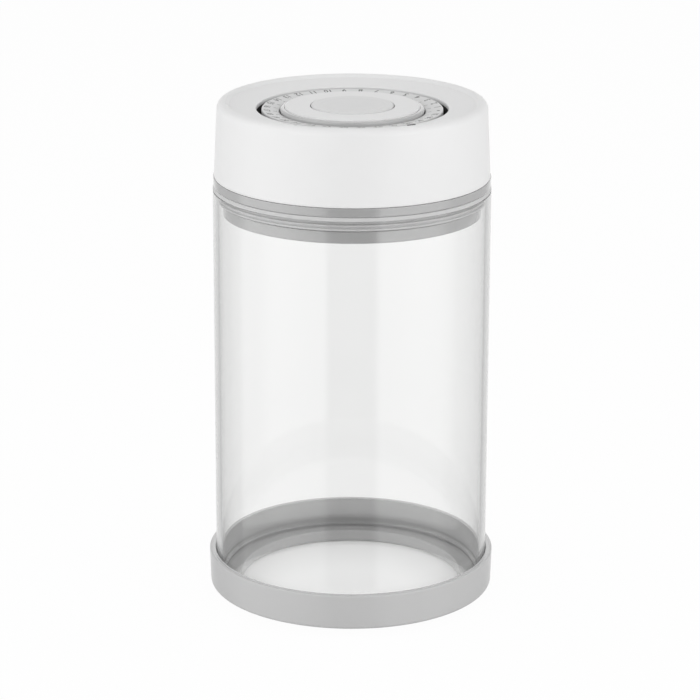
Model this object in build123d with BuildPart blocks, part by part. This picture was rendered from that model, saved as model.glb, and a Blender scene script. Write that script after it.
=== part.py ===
from build123d import *
import os
from math import asin, cos, degrees, pi, sin, sqrt

# A glass food canister with a hand vacuum pump in its lid, in millimetres, standing on z = 0.
# The jar stands in a base ring. The lid is a white shell over a grey plug, and the plug carries
# the pump: a knob, rod and piston that are pulled up and pushed down. A button in the knob lets
# the air back in, and a date dial turns around the knob.

# Clearances that several pieces share
press_clearance = 0.05
loose_clearance = 0.3
cut_overrun = 1.0

# Glass jar
glass_outer_radius = 52.5
glass_wall = 2.2
glass_height = 155.9
glass_floor_thickness = 2.4
glass_outer_corner = 2.6
glass_inner_corner = 2.0
glass_rim_round = 0.7

# Base ring and the soft foot under it
base_glass_gap = 0.2
base_wall = 2.4
base_height = 13.7
base_draft = 0.4
base_lift = 2.5
base_ledge_thickness = 1.8
base_ledge_width = 10.1
base_bottom_round = 1.2
base_top_round = 0.5
standing_rim_width = 4.8
foot_proud = 0.3
foot_sunk = 0.7
foot_margin = 0.8
foot_round = 0.12

# Lid plug: a cup that hangs in the mouth of the jar
flange_inset = 0.15
flange_thickness = 3.4
flange_round = 0.6
flange_top_round = 0.1
mouth_seal_thickness = 1.0
mouth_seal_overlap = 0.8
mouth_seal_tongue_height = 0.8
mouth_seal_tongue_width = 1.4
plug_reach = 10.5
plug_glass_gap = 1.6
plug_band_height = 4.6
plug_neck_depth = 1.3
plug_wall = 2.0
plug_floor_thickness = 2.2
plug_spigot_height = 5.2
plug_spigot_wall = 2.2
snap_bead_height = 1.0
snap_bead_depth = 0.7
snap_bead_rise = 2.2

# Lipped seal round the plug
lip_count = 3
lip_seal_base = 1.65
lip_thickness = 0.5
lip_root_thickness = 1.1
lip_glass_gap = 0.3
lip_end_gap = 0.25

# Lid shell: the white cap
shell_height = 28.6
shell_inset = 0.5
shell_draft_run = 1.35
shell_wall = 2.0
shell_edge_round = 2.9
shell_lower_edge_round = 0.3
rim_crest_width = 3.2
rim_slope_width = 1.25
rim_height = 1.2
rim_inner_round = 0.4
face_fall = 1.6
face_thickness = 2.0
rib_count = 12
rib_width = 1.2
rib_depth = 4.2
rib_embed = 0.2

# Well in the lid's face, and the date dial that turns in it
well_gap = 2.0
well_depth = 5.9
well_wall = 1.8
well_floor_thickness = 1.8
well_edge_round = 0.4
dial_width = 6.6
dial_drop = 0.1
dial_fall = 1.1
dial_top_thickness = 1.3
dial_skirt_thickness = 1.2
dial_sleeve_thickness = 0.9
dial_running_clearance = 0.1
dial_edge_round = 0.4
dial_snap_depth = 0.8
dial_snap_height = 0.7
dial_slot_count = 6
dial_slot_width = 1.6

# Pump knob
knob_radius = 27.0
knob_dial_gap = 0.4
knob_rise = 0.75
knob_wall = 2.4
knob_skirt_overlap = 5.95
knob_shoulder_width = 1.6
knob_shoulder_round = 1.0
knob_mouth_round = 0.2
knob_cap_proud = 0.55
knob_cap_sunk = 1.2
knob_cap_round = 0.5
knob_hole_round = 0.4
knob_well_depth = 9.45
knob_web_thickness = 2.0
knob_collar_wall = 1.6
knob_collar_reach = 1.6

# Pump rod, piston and barrel
rod_radius = 6.0
rod_running_clearance = 0.08
rod_collar_radius = 8.0
rod_collar_height = 1.5
rod_spigot_radius = 4.5
rod_spigot_lift = 0.4
piston_height = 6.7
piston_plate_thickness = 2.2
piston_wall = 4.0
piston_hub_radius = 8.0
piston_hub_height = 4.4
piston_running_clearance = 0.05
piston_ring_height = 2.4
piston_ring_depth = 2.1
piston_ring_round = 0.5
piston_ring_lift = 2.1
port_count = 6
port_radius = 1.0
outlet_port_circle = 12.0
flap_radius = 15.5
flap_thickness = 0.8
clip_thickness = 0.8
clip_groove_depth = 0.6
clip_reach = 2.0
clip_opening = 50.0
barrel_knob_gap = 0.8
barrel_wall = 1.8
barrel_foot_width = 3.0
barrel_foot_height = 2.4
barrel_seal_radius = 0.62
barrel_seal_groove_width = 1.6
barrel_cap_thickness = 2.2
barrel_cap_spigot_height = 1.2
barrel_cap_spigot_wall = 1.5
barrel_cap_vent_radius = 1.6
barrel_cap_vent_circle = 15.5
bush_wall = 2.4
home_gap = 0.3

# Screws that hold the barrel down on the plug's bosses
screw_count = 4
screw_radius = 1.4
screw_head_radius = 2.7
screw_head_height = 1.8
screw_length = 9.0
screw_hole_radius = 1.7
screw_slot_width = 0.8
screw_slot_depth = 0.9
boss_radius = 3.2
boss_height = 8.0
boss_foot_gap = 0.2
boss_pilot_radius = 1.45
boss_pilot_depth = 7.4
ear_thickness = 2.0

# Valves and the filter under them
valve_radius = 7.0
valve_height = 2.2
valve_rim_thickness = 0.6
valve_stem_radius = 1.4
valve_stem_clearance = 0.1
valve_bulb_radius = 2.4
valve_bulb_height = 1.6
valve_piston_gap = 0.8
inlet_port_circle = 4.6
cover_radius = 14.0
cover_wall = 1.2
cover_depth = 3.8
cover_floor = 1.2
cover_slot_count = 8
cover_slot_width = 1.4
cover_slot_length = 5.6
cover_slot_circle = 7.4
cover_collar_wall = 1.2
cover_collar_height = 1.6
filter_thickness = 0.8

# Release button, its stem and its spring
button_radius = 15.45
button_knob_gap = 0.3
button_rise = 0.3
button_top_thickness = 2.2
button_wall = 1.7
button_height = 5.0
button_lip_width = 1.1
button_lip_height = 1.0
button_edge_round = 0.5
button_hub_radius = 3.0
button_hub_height = 4.8
button_travel = 2.0
dish_radius = 12.2
dish_depth = 1.4
stem_radius = 1.5
stem_clearance = 0.3
stem_press_depth = 4.3
stem_tip_round = 0.6
stem_seal_radius = 0.65
stem_seal_well = 1.5
washer_thickness = 0.5
washer_radius = 8.0
spring_wire_radius = 0.35
spring_coil_radius = 5.8
spring_turns = 4
spring_end_gap = 0.08

# Heights of the jar, from the table up
standing_rim_bottom = foot_proud
base_bottom = standing_rim_bottom + base_lift
base_top = base_bottom + base_height
ledge_top = base_bottom + base_ledge_thickness
glass_bottom = ledge_top
glass_floor_top = glass_bottom + glass_floor_thickness
glass_rim = glass_bottom + glass_height

# Heights of the lid, from the rim of the glass up
flange_bottom = glass_rim + mouth_seal_thickness
flange_top = flange_bottom + flange_thickness
plug_bottom = flange_bottom - plug_reach
plug_floor_top = plug_bottom + plug_floor_thickness
plug_band_top = plug_bottom + plug_band_height
plug_spigot_top = flange_top + plug_spigot_height
shell_bottom = flange_top
shell_top = shell_bottom + shell_height
face_outer_height = shell_top - rim_height
well_edge = face_outer_height - face_fall
well_floor_top = well_edge - well_depth
well_floor_bottom = well_floor_top - well_floor_thickness
dial_top = well_edge - dial_drop
dial_inner_top = dial_top - dial_fall
dial_bottom = well_floor_top + loose_clearance
dial_snap_top = well_floor_bottom - loose_clearance

# Heights of the knob and the barrel, from the knob's top down
knob_top = well_edge + knob_rise
knob_shoulder = knob_top - knob_cap_proud
knob_cap_seat = knob_shoulder - knob_cap_sunk
knob_collar_bottom = knob_cap_seat - knob_collar_reach
web_top = knob_top - knob_well_depth
web_bottom = web_top - knob_web_thickness
barrel_cap_top = web_bottom - home_gap
barrel_top = barrel_cap_top - barrel_cap_thickness

# Heights of the piston, from the plug's floor up
valve_crown = plug_floor_top + valve_height
piston_bottom = valve_crown + valve_piston_gap
piston_top = piston_bottom + piston_height
flap_top = piston_top + flap_thickness
rod_collar_top = flap_top + rod_collar_height
pump_stroke = barrel_top - loose_clearance - rod_collar_top
knob_skirt_bottom = knob_top - knob_skirt_overlap - pump_stroke

# Heights of the button and its stem
button_top = knob_top + button_rise
button_underside = button_top - button_top_thickness
button_bottom = button_top - button_height
button_hub_bottom = button_underside - button_hub_height
stem_top = button_hub_bottom + stem_press_depth
stem_tip = valve_crown + loose_clearance + button_travel
washer_top = web_top + washer_thickness

# Radii of the jar and the lid
glass_inner_radius = glass_outer_radius - glass_wall
base_inner_radius = glass_outer_radius + base_glass_gap
base_outer_radius = base_inner_radius + base_wall
ledge_inner_radius = base_inner_radius - base_ledge_width
standing_rim_radius = ledge_inner_radius + standing_rim_width
foot_outer_radius = standing_rim_radius - foot_margin
foot_inner_radius = ledge_inner_radius + foot_margin
flange_radius = glass_outer_radius - flange_inset
plug_band_radius = glass_inner_radius - plug_glass_gap
plug_neck_radius = plug_band_radius - plug_neck_depth
plug_inner_radius = plug_neck_radius - plug_wall
shell_bottom_radius = glass_outer_radius - shell_inset
shell_top_radius = shell_bottom_radius - shell_draft_run
rim_crest_radius = shell_top_radius - rim_crest_width
face_outer_radius = rim_crest_radius - rim_slope_width
tongue_outer_radius = glass_outer_radius - mouth_seal_overlap
tongue_inner_radius = tongue_outer_radius - mouth_seal_tongue_width

# Radii of the knob, the dial and the pump
dial_inner_radius = knob_radius + knob_dial_gap
dial_outer_radius = dial_inner_radius + dial_width
well_radius = dial_outer_radius + well_gap
dial_sleeve_radius = dial_inner_radius + dial_sleeve_thickness
dial_hole_radius = dial_sleeve_radius + dial_running_clearance
knob_inner_radius = knob_radius - knob_wall
knob_mouth_radius = knob_radius - knob_shoulder_width
barrel_outer_radius = knob_inner_radius - barrel_knob_gap
barrel_inner_radius = barrel_outer_radius - barrel_wall
barrel_foot_radius = barrel_outer_radius + barrel_foot_width
barrel_seal_circle = (barrel_outer_radius + barrel_foot_radius) / 2
boss_circle = barrel_foot_radius + boss_foot_gap + boss_radius
piston_radius = barrel_inner_radius - loose_clearance
piston_ring_outer_radius = barrel_inner_radius - piston_running_clearance
piston_groove_radius = piston_ring_outer_radius - piston_ring_depth
bush_inner_radius = rod_radius + rod_running_clearance
bush_outer_radius = bush_inner_radius + bush_wall
stem_bore_radius = stem_radius + stem_clearance
button_hole_radius = button_radius + button_knob_gap


def shell_side(height):
    """The outer radius of the tapered shell at a height."""
    rise_share = (height - shell_bottom) / shell_height
    return shell_bottom_radius - shell_draft_run * rise_share


def shell_inside(height):
    return shell_side(height) - shell_wall


spigot_radius = shell_inside(plug_spigot_top) - loose_clearance
bead_radius = spigot_radius + snap_bead_depth
bead_groove_radius = bead_radius + loose_clearance


def turned(*corners):
    """Turn a closed outline of (radius, height) corners about the canister's axis."""
    with BuildSketch(Plane.XZ) as outline:
        with BuildLine():
            Polyline(*corners, close=True)
        make_face()
    revolve(outline.sketch, axis=Axis.Z)


def tube(outer, inner, bottom, top, mode=Mode.ADD):
    """A plain ring between two heights, added to the piece or cut from it."""
    with BuildSketch(Plane.XY.offset(bottom)) as section:
        Circle(outer)
        Circle(inner, mode=Mode.SUBTRACT)
    extrude(section.sketch, amount=top - bottom, mode=mode)


def rod_hole(radius, bottom, top):
    """A hole along the axis, with room to spare at both ends."""
    with BuildSketch(Plane.XY.offset(bottom - cut_overrun)) as hole:
        Circle(radius)
    extrude(hole.sketch, amount=top - bottom + 2 * cut_overrun, mode=Mode.SUBTRACT)


def ring_of_holes(radius, circle, count, bottom, top):
    """Round holes, evenly spaced on a circle, cut right through between two heights."""
    with BuildSketch(Plane.XY.offset(bottom - cut_overrun)) as holes:
        with PolarLocations(circle, count):
            Circle(radius)
    extrude(holes.sketch, amount=top - bottom + 2 * cut_overrun, mode=Mode.SUBTRACT)


def o_ring(circle, section_radius, height):
    """A round-section sealing ring whose section is centred at a height."""
    with BuildSketch(Plane.XZ) as section:
        with Locations((circle, height)):
            Circle(section_radius)
    revolve(section.sketch, axis=Axis.Z)


def round_corners(profile, radius, *corners):
    """Round the corners of a profile that lie nearest to the given points."""
    nearest = [profile.vertices().sort_by_distance(Vector(*corner))[0] for corner in corners]
    fillet(nearest, radius)


os.makedirs("parts", exist_ok=True)


# The jar: one straight glass wall with a flat floor and a rounded heel
with BuildPart() as glass_jar:
    with BuildSketch(Plane.XZ) as glass_profile:
        with BuildLine():
            Polyline(
                (0, glass_bottom),
                (glass_outer_radius, glass_bottom),
                (glass_outer_radius, glass_rim),
                (glass_inner_radius, glass_rim),
                (glass_inner_radius, glass_floor_top),
                (0, glass_floor_top),
                close=True,
            )
        make_face()
        round_corners(glass_profile, glass_outer_corner, (glass_outer_radius, glass_bottom))
        round_corners(glass_profile, glass_inner_corner, (glass_inner_radius, glass_floor_top))
        round_corners(
            glass_profile,
            glass_rim_round,
            (glass_outer_radius, glass_rim),
            (glass_inner_radius, glass_rim),
        )
    revolve(axis=Axis.Z)
glass_jar.part.label = "glass_jar"
export_step(glass_jar.part, "parts/glass_jar.step")


# The base ring: a low wall round the jar, which hangs clear of the table, and a ledge under the
# glass that stands on a rim of its own and leaves the middle open
with BuildPart() as base_ring:
    with BuildSketch(Plane.XZ) as base_profile:
        with BuildLine():
            Polyline(
                (ledge_inner_radius, standing_rim_bottom),
                (standing_rim_radius, standing_rim_bottom),
                (standing_rim_radius, base_bottom),
                (base_outer_radius - base_draft, base_bottom),
                (base_outer_radius, base_top),
                (base_inner_radius, base_top),
                (base_inner_radius, ledge_top),
                (ledge_inner_radius, ledge_top),
                close=True,
            )
        make_face()
        round_corners(
            base_profile, base_bottom_round, (base_outer_radius - base_draft, base_bottom)
        )
        round_corners(
            base_profile,
            base_top_round,
            (base_outer_radius, base_top),
            (base_inner_radius, base_top),
        )
    revolve(axis=Axis.Z)
    tube(
        foot_outer_radius + press_clearance,
        foot_inner_radius - press_clearance,
        standing_rim_bottom - cut_overrun,
        standing_rim_bottom + foot_sunk,
        mode=Mode.SUBTRACT,
    )
base_ring.part.label = "base_ring"
export_step(base_ring.part, "parts/base_ring.step")


# The foot: a flat soft ring let into the standing rim, and a little proud of it
with BuildPart() as foot_ring:
    tube(foot_outer_radius, foot_inner_radius, 0, standing_rim_bottom + foot_sunk)
    fillet(foot_ring.edges().group_by(Axis.Z)[0], foot_round)
foot_ring.part.label = "foot_ring"
export_step(foot_ring.part, "parts/foot_ring.step")


# The plug: a cup with a flange that carries the shell, and a snap bead round its spigot
spigot_inner_radius = spigot_radius - plug_spigot_wall
bead_bottom = flange_top + snap_bead_rise
bead_top = bead_bottom + snap_bead_height
cup_step = flange_bottom + plug_wall / 2
collar_radius = cover_radius + press_clearance
with BuildPart() as lid_plug:
    with BuildSketch(Plane.XZ) as plug_profile:
        with BuildLine():
            Polyline(
                (0, plug_bottom),
                (plug_band_radius, plug_bottom),
                (plug_band_radius, plug_band_top),
                (plug_neck_radius, plug_band_top),
                (plug_neck_radius, flange_bottom),
                (tongue_inner_radius - press_clearance, flange_bottom),
                (tongue_inner_radius - press_clearance, flange_bottom + mouth_seal_tongue_height),
                (tongue_outer_radius + press_clearance, flange_bottom + mouth_seal_tongue_height),
                (tongue_outer_radius + press_clearance, flange_bottom),
                (flange_radius, flange_bottom),
                (flange_radius, flange_top),
                (spigot_radius, flange_top),
                (spigot_radius, bead_bottom),
                (bead_radius, bead_bottom),
                (spigot_radius, bead_top),
                (spigot_radius, plug_spigot_top),
                (spigot_inner_radius, plug_spigot_top),
                (spigot_inner_radius, cup_step + plug_wall),
                (plug_inner_radius, cup_step),
                (plug_inner_radius, plug_floor_top),
                (0, plug_floor_top),
                close=True,
            )
        make_face()
        round_corners(
            plug_profile,
            flange_round,
            (plug_band_radius, plug_bottom),
            (flange_radius, flange_bottom),
        )
        round_corners(plug_profile, loose_clearance, (plug_band_radius, plug_band_top))
        round_corners(plug_profile, flange_top_round, (flange_radius, flange_top))
    revolve(axis=Axis.Z)
    tube(
        collar_radius + cover_collar_wall,
        collar_radius,
        plug_bottom - cover_collar_height,
        plug_bottom,
    )
    with BuildSketch(Plane.XY.offset(plug_floor_top)):
        with PolarLocations(boss_circle, screw_count):
            Circle(boss_radius)
    extrude(amount=boss_height)
    boss_top = plug_floor_top + boss_height
    with BuildSketch(Plane.XY.offset(boss_top - boss_pilot_depth)):
        with PolarLocations(boss_circle, screw_count):
            Circle(boss_pilot_radius)
    extrude(amount=boss_pilot_depth + cut_overrun, mode=Mode.SUBTRACT)
    rod_hole(valve_stem_radius + valve_stem_clearance, plug_bottom, plug_floor_top)
    ring_of_holes(port_radius, inlet_port_circle, port_count, plug_bottom, plug_floor_top)
lid_plug.part.label = "lid_plug"
export_step(lid_plug.part, "parts/lid_plug.step")


# The mouth seal: a flat ring that lies on the rim of the glass, keyed into the flange
with BuildPart() as mouth_seal:
    seal_inner_radius = plug_neck_radius + plug_neck_depth + plug_glass_gap / 2
    seal_outer_radius = tongue_outer_radius + press_clearance + mouth_seal_overlap / 2
    turned(
        (seal_inner_radius, glass_rim),
        (seal_outer_radius, glass_rim),
        (seal_outer_radius, flange_bottom),
        (tongue_outer_radius, flange_bottom),
        (tongue_outer_radius, flange_bottom + mouth_seal_tongue_height - press_clearance),
        (tongue_inner_radius, flange_bottom + mouth_seal_tongue_height - press_clearance),
        (tongue_inner_radius, flange_bottom),
        (seal_inner_radius, flange_bottom),
    )
mouth_seal.part.label = "mouth_seal"
export_step(mouth_seal.part, "parts/mouth_seal.step")


# The plug seal: a soft sleeve on the plug's neck, with lips that reach out towards the glass
with BuildPart() as plug_seal:
    sleeve_bottom = plug_band_top + lip_end_gap
    sleeve_top = glass_rim - lip_end_gap
    lip_pitch = (sleeve_top - sleeve_bottom) / lip_count
    lip_outer_radius = glass_inner_radius - lip_glass_gap
    sleeve_inner_radius = plug_neck_radius + press_clearance
    sleeve_outer_radius = sleeve_inner_radius + lip_seal_base
    tube(sleeve_outer_radius, sleeve_inner_radius, sleeve_bottom, sleeve_top)
    for lip in range(lip_count):
        middle = sleeve_bottom + (lip + 1 / 2) * lip_pitch
        turned(
            (sleeve_inner_radius + lip_seal_base / 2, middle - lip_root_thickness / 2),
            (lip_outer_radius, middle - lip_thickness / 2),
            (lip_outer_radius, middle + lip_thickness / 2),
            (sleeve_inner_radius + lip_seal_base / 2, middle + lip_root_thickness / 2),
        )
plug_seal.part.label = "plug_seal"
export_step(plug_seal.part, "parts/plug_seal.step")


# The lid shell: a tapered cap with a raised rim, a dished face and a well in the middle
inner_face_height = face_outer_height - face_thickness
well_outer_radius = well_radius + well_wall
with BuildPart() as lid_shell:
    with BuildSketch(Plane.XZ) as shell_profile:
        with BuildLine():
            Polyline(
                (shell_inside(shell_bottom), shell_bottom),
                (shell_bottom_radius, shell_bottom),
                (shell_top_radius, shell_top),
                (rim_crest_radius, shell_top),
                (face_outer_radius, face_outer_height),
                (well_radius, well_edge),
                (well_radius, well_floor_top),
                (dial_hole_radius, well_floor_top),
                (dial_hole_radius, well_floor_bottom),
                (well_outer_radius, well_floor_bottom),
                (well_outer_radius, well_edge - face_thickness),
                (face_outer_radius, inner_face_height),
                (shell_inside(inner_face_height), inner_face_height),
                close=True,
            )
        make_face()
        round_corners(shell_profile, shell_edge_round, (shell_top_radius, shell_top))
        round_corners(
            shell_profile,
            rim_inner_round,
            (rim_crest_radius, shell_top),
            (face_outer_radius, face_outer_height),
        )
        round_corners(shell_profile, well_edge_round, (well_radius, well_edge))
        round_corners(
            shell_profile, shell_lower_edge_round, (shell_bottom_radius, shell_bottom)
        )
    revolve(axis=Axis.Z)
    # The groove that the plug's bead snaps into
    tube(
        bead_groove_radius,
        spigot_radius,
        bead_bottom - loose_clearance,
        bead_top + loose_clearance,
        mode=Mode.SUBTRACT,
    )
    # Ribs under the face, from the well's wall out to the side
    rib_top = inner_face_height + rib_embed
    rib_bottom = well_edge - face_thickness - rib_depth
    rib_inner_end = well_radius + well_wall / 2
    rib_outer_end = shell_inside(rib_top) + shell_wall / 4
    with BuildSketch(Plane.XY.offset(rib_bottom)):
        with PolarLocations((rib_inner_end + rib_outer_end) / 2, rib_count):
            Rectangle(rib_outer_end - rib_inner_end, rib_width)
    extrude(amount=rib_top - rib_bottom)
lid_shell.part.label = "lid_shell"
export_step(lid_shell.part, "parts/lid_shell.step")


# The date dial: a ring that turns in the well, held by snap fingers under the well's floor;
# its top slopes down towards the knob
with BuildPart() as date_dial:
    snap_bottom = dial_snap_top - dial_snap_height
    with BuildSketch(Plane.XZ) as dial_profile:
        with BuildLine():
            Polyline(
                (dial_inner_radius, snap_bottom),
                (dial_sleeve_radius, snap_bottom),
                (dial_sleeve_radius + dial_snap_depth, dial_snap_top),
                (dial_sleeve_radius, dial_snap_top),
                (dial_sleeve_radius, dial_inner_top - dial_top_thickness),
                (dial_outer_radius - dial_skirt_thickness, dial_top - dial_top_thickness),
                (dial_outer_radius - dial_skirt_thickness, dial_bottom),
                (dial_outer_radius, dial_bottom),
                (dial_outer_radius, dial_top),
                (dial_inner_radius, dial_inner_top),
                close=True,
            )
        make_face()
        round_corners(
            dial_profile,
            dial_edge_round,
            (dial_outer_radius, dial_top),
            (dial_inner_radius, dial_inner_top),
        )
    revolve(axis=Axis.Z)
    # Slots that part the sleeve into fingers, so that it can snap in
    with BuildSketch(Plane.XY.offset(snap_bottom - cut_overrun)):
        with PolarLocations(dial_sleeve_radius, dial_slot_count):
            Rectangle(2 * (dial_sleeve_thickness + dial_snap_depth), dial_slot_width)
    extrude(amount=well_floor_bottom - snap_bottom + cut_overrun, mode=Mode.SUBTRACT)
date_dial.part.label = "date_dial"
export_step(date_dial.part, "parts/date_dial.step")


# The barrel: the pump's cylinder, with a foot that seals on the plug's floor and four ears
with BuildPart() as pump_barrel:
    tube(barrel_outer_radius, barrel_inner_radius, plug_floor_top, barrel_top)
    tube(barrel_foot_radius, barrel_inner_radius, plug_floor_top, plug_floor_top + barrel_foot_height)
    with BuildSketch(Plane.XY.offset(boss_top)):
        with PolarLocations(boss_circle, screw_count):
            Circle(boss_radius)
        with PolarLocations((barrel_inner_radius + boss_circle) / 2, screw_count):
            Rectangle(boss_circle - barrel_inner_radius, 2 * boss_radius)
        Circle(barrel_inner_radius, mode=Mode.SUBTRACT)
    extrude(amount=ear_thickness)
    ring_of_holes(screw_hole_radius, boss_circle, screw_count, boss_top, boss_top + ear_thickness)
    tube(
        barrel_seal_circle + barrel_seal_groove_width / 2,
        barrel_seal_circle - barrel_seal_groove_width / 2,
        plug_floor_top - cut_overrun,
        plug_floor_top + 2 * (barrel_seal_radius + press_clearance),
        mode=Mode.SUBTRACT,
    )
pump_barrel.part.label = "pump_barrel"
export_step(pump_barrel.part, "parts/pump_barrel.step")

with BuildPart() as barrel_seal:
    o_ring(barrel_seal_circle, barrel_seal_radius, plug_floor_top + barrel_seal_radius)
barrel_seal.part.label = "barrel_seal"
export_step(barrel_seal.part, "parts/barrel_seal.step")


# Four round-headed screws with a straight slot, one in each ear
with BuildPart() as barrel_screws:
    ear_top = boss_top + ear_thickness
    with BuildSketch(Plane.XY.offset(ear_top + screw_head_height - screw_length)):
        with PolarLocations(boss_circle, screw_count):
            Circle(screw_radius)
    extrude(amount=screw_length - screw_head_height)
    with BuildSketch(Plane.XY.offset(ear_top)):
        with PolarLocations(boss_circle, screw_count):
            Circle(screw_head_radius)
    extrude(amount=screw_head_height)
    fillet(barrel_screws.edges().group_by(Axis.Z)[-1], screw_head_height / 3)
    with BuildSketch(Plane.XY.offset(ear_top + screw_head_height - screw_slot_depth)):
        with PolarLocations(boss_circle, screw_count):
            Rectangle(2 * screw_head_radius + cut_overrun, screw_slot_width)
    extrude(amount=screw_slot_depth + cut_overrun, mode=Mode.SUBTRACT)
barrel_screws.part.label = "barrel_screws"
export_step(barrel_screws.part, "parts/barrel_screws.step")


# The barrel's cap: it keeps the piston in, guides the rod's bush and lets air past
with BuildPart() as barrel_cap:
    cap_spigot_radius = barrel_inner_radius - press_clearance
    cap_bore_radius = bush_outer_radius + press_clearance
    tube(barrel_outer_radius, cap_bore_radius, barrel_top, barrel_cap_top)
    tube(
        cap_spigot_radius,
        cap_spigot_radius - barrel_cap_spigot_wall,
        barrel_top - barrel_cap_spigot_height,
        barrel_top,
    )
    ring_of_holes(
        barrel_cap_vent_radius, barrel_cap_vent_circle, port_count, barrel_top, barrel_cap_top
    )
barrel_cap.part.label = "barrel_cap"
export_step(barrel_cap.part, "parts/barrel_cap.step")

with BuildPart() as rod_bush:
    tube(bush_outer_radius, bush_inner_radius, barrel_top, barrel_cap_top)
rod_bush.part.label = "rod_bush"
export_step(rod_bush.part, "parts/rod_bush.step")


# The inlet valve: a soft umbrella over the ports in the plug's floor, held by its stem
with BuildPart() as inlet_valve:
    with BuildSketch(Plane.XZ):
        with BuildLine():
            rim_height_top = plug_floor_top + valve_rim_thickness
            crown_rise = valve_crown - rim_height_top
            crown_radius = (valve_radius**2 + crown_rise**2) / (2 * crown_rise)
            crown_angle = degrees(asin(valve_radius / crown_radius))
            crown = CenterArc(
                (0, valve_crown - crown_radius), crown_radius, 90 - crown_angle, crown_angle
            )
            Polyline(
                crown @ 0,
                (valve_radius, plug_floor_top),
                (valve_stem_radius, plug_floor_top),
                (valve_stem_radius, plug_bottom),
                (valve_bulb_radius, plug_bottom),
                (valve_stem_radius, plug_bottom - valve_bulb_height),
                (0, plug_bottom - valve_bulb_height),
                crown @ 1,
            )
        make_face()
    revolve(axis=Axis.Z)
inlet_valve.part.label = "inlet_valve"
export_step(inlet_valve.part, "parts/inlet_valve.step")


# The valve cover: a slotted cup under the plug that keeps food out of the valve
with BuildPart() as valve_cover:
    cover_bottom = plug_bottom - cover_depth
    with BuildSketch(Plane.XY.offset(cover_bottom)):
        Circle(cover_radius)
    extrude(amount=cover_depth)
    with BuildSketch(Plane.XY.offset(cover_bottom + cover_floor)):
        Circle(cover_radius - cover_wall)
    extrude(amount=cover_depth, mode=Mode.SUBTRACT)
    with BuildSketch(Plane.XY.offset(cover_bottom - cut_overrun)):
        with PolarLocations(cover_slot_circle, cover_slot_count):
            SlotOverall(cover_slot_length, cover_slot_width)
    extrude(amount=cover_floor + 2 * cut_overrun, mode=Mode.SUBTRACT)
valve_cover.part.label = "valve_cover"
export_step(valve_cover.part, "parts/valve_cover.step")

with BuildPart() as filter_disc:
    with BuildSketch(Plane.XY.offset(cover_bottom + cover_floor)):
        Circle(cover_radius - cover_wall - press_clearance)
    extrude(amount=filter_thickness)
filter_disc.part.label = "filter_disc"
export_step(filter_disc.part, "parts/filter_disc.step")


# The knob's body: a deep sleeve with a rounded shoulder, a web across it, and the hollow rod
# that carries the piston
spigot_bottom = piston_bottom + rod_spigot_lift
clip_top = piston_top - piston_hub_height
clip_bottom = clip_top - clip_thickness
clip_groove_radius = rod_spigot_radius - clip_groove_depth
with BuildPart() as knob_body:
    with BuildSketch(Plane.XZ) as knob_profile:
        with BuildLine():
            Polyline(
                (stem_bore_radius, spigot_bottom),
                (rod_spigot_radius, spigot_bottom),
                (rod_spigot_radius, clip_bottom - press_clearance),
                (clip_groove_radius, clip_bottom - press_clearance),
                (clip_groove_radius, clip_top),
                (rod_spigot_radius, clip_top),
                (rod_spigot_radius, flap_top),
                (rod_collar_radius, flap_top),
                (rod_collar_radius, rod_collar_top),
                (rod_radius, rod_collar_top),
                (rod_radius, web_bottom),
                (knob_inner_radius, web_bottom),
                (knob_inner_radius, knob_skirt_bottom),
                (knob_radius, knob_skirt_bottom),
                (knob_radius, knob_shoulder),
                (knob_mouth_radius, knob_shoulder),
                (knob_mouth_radius, knob_cap_seat),
                (knob_inner_radius, knob_cap_seat),
                (knob_inner_radius, web_top),
                (stem_bore_radius, web_top),
                close=True,
            )
        make_face()
        round_corners(knob_profile, knob_shoulder_round, (knob_radius, knob_shoulder))
        round_corners(knob_profile, knob_mouth_round, (knob_mouth_radius, knob_shoulder))
    revolve(axis=Axis.Z)
    seal_well_radius = stem_radius + 2 * (stem_seal_radius + press_clearance)
    with BuildSketch(Plane.XY.offset(web_top - stem_seal_well)):
        Circle(seal_well_radius)
    extrude(amount=stem_seal_well, mode=Mode.SUBTRACT)
knob_body.part.label = "knob_body"
export_step(knob_body.part, "parts/knob_body.step")


# The knob's cap: a flat disc let into the sleeve's mouth, with a collar that the button slides in
with BuildPart() as knob_cap:
    cap_radius = knob_mouth_radius - press_clearance
    collar_outer_radius = button_hole_radius + knob_collar_wall
    with BuildSketch(Plane.XZ) as cap_profile:
        with BuildLine():
            Polyline(
                (button_hole_radius, knob_collar_bottom),
                (collar_outer_radius, knob_collar_bottom),
                (collar_outer_radius, knob_cap_seat),
                (cap_radius, knob_cap_seat),
                (cap_radius, knob_top),
                (button_hole_radius, knob_top),
                close=True,
            )
        make_face()
        round_corners(cap_profile, knob_cap_round, (cap_radius, knob_top))
        round_corners(cap_profile, knob_hole_round, (button_hole_radius, knob_top))
    revolve(axis=Axis.Z)
knob_cap.part.label = "knob_cap"
export_step(knob_cap.part, "parts/knob_cap.step")


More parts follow.
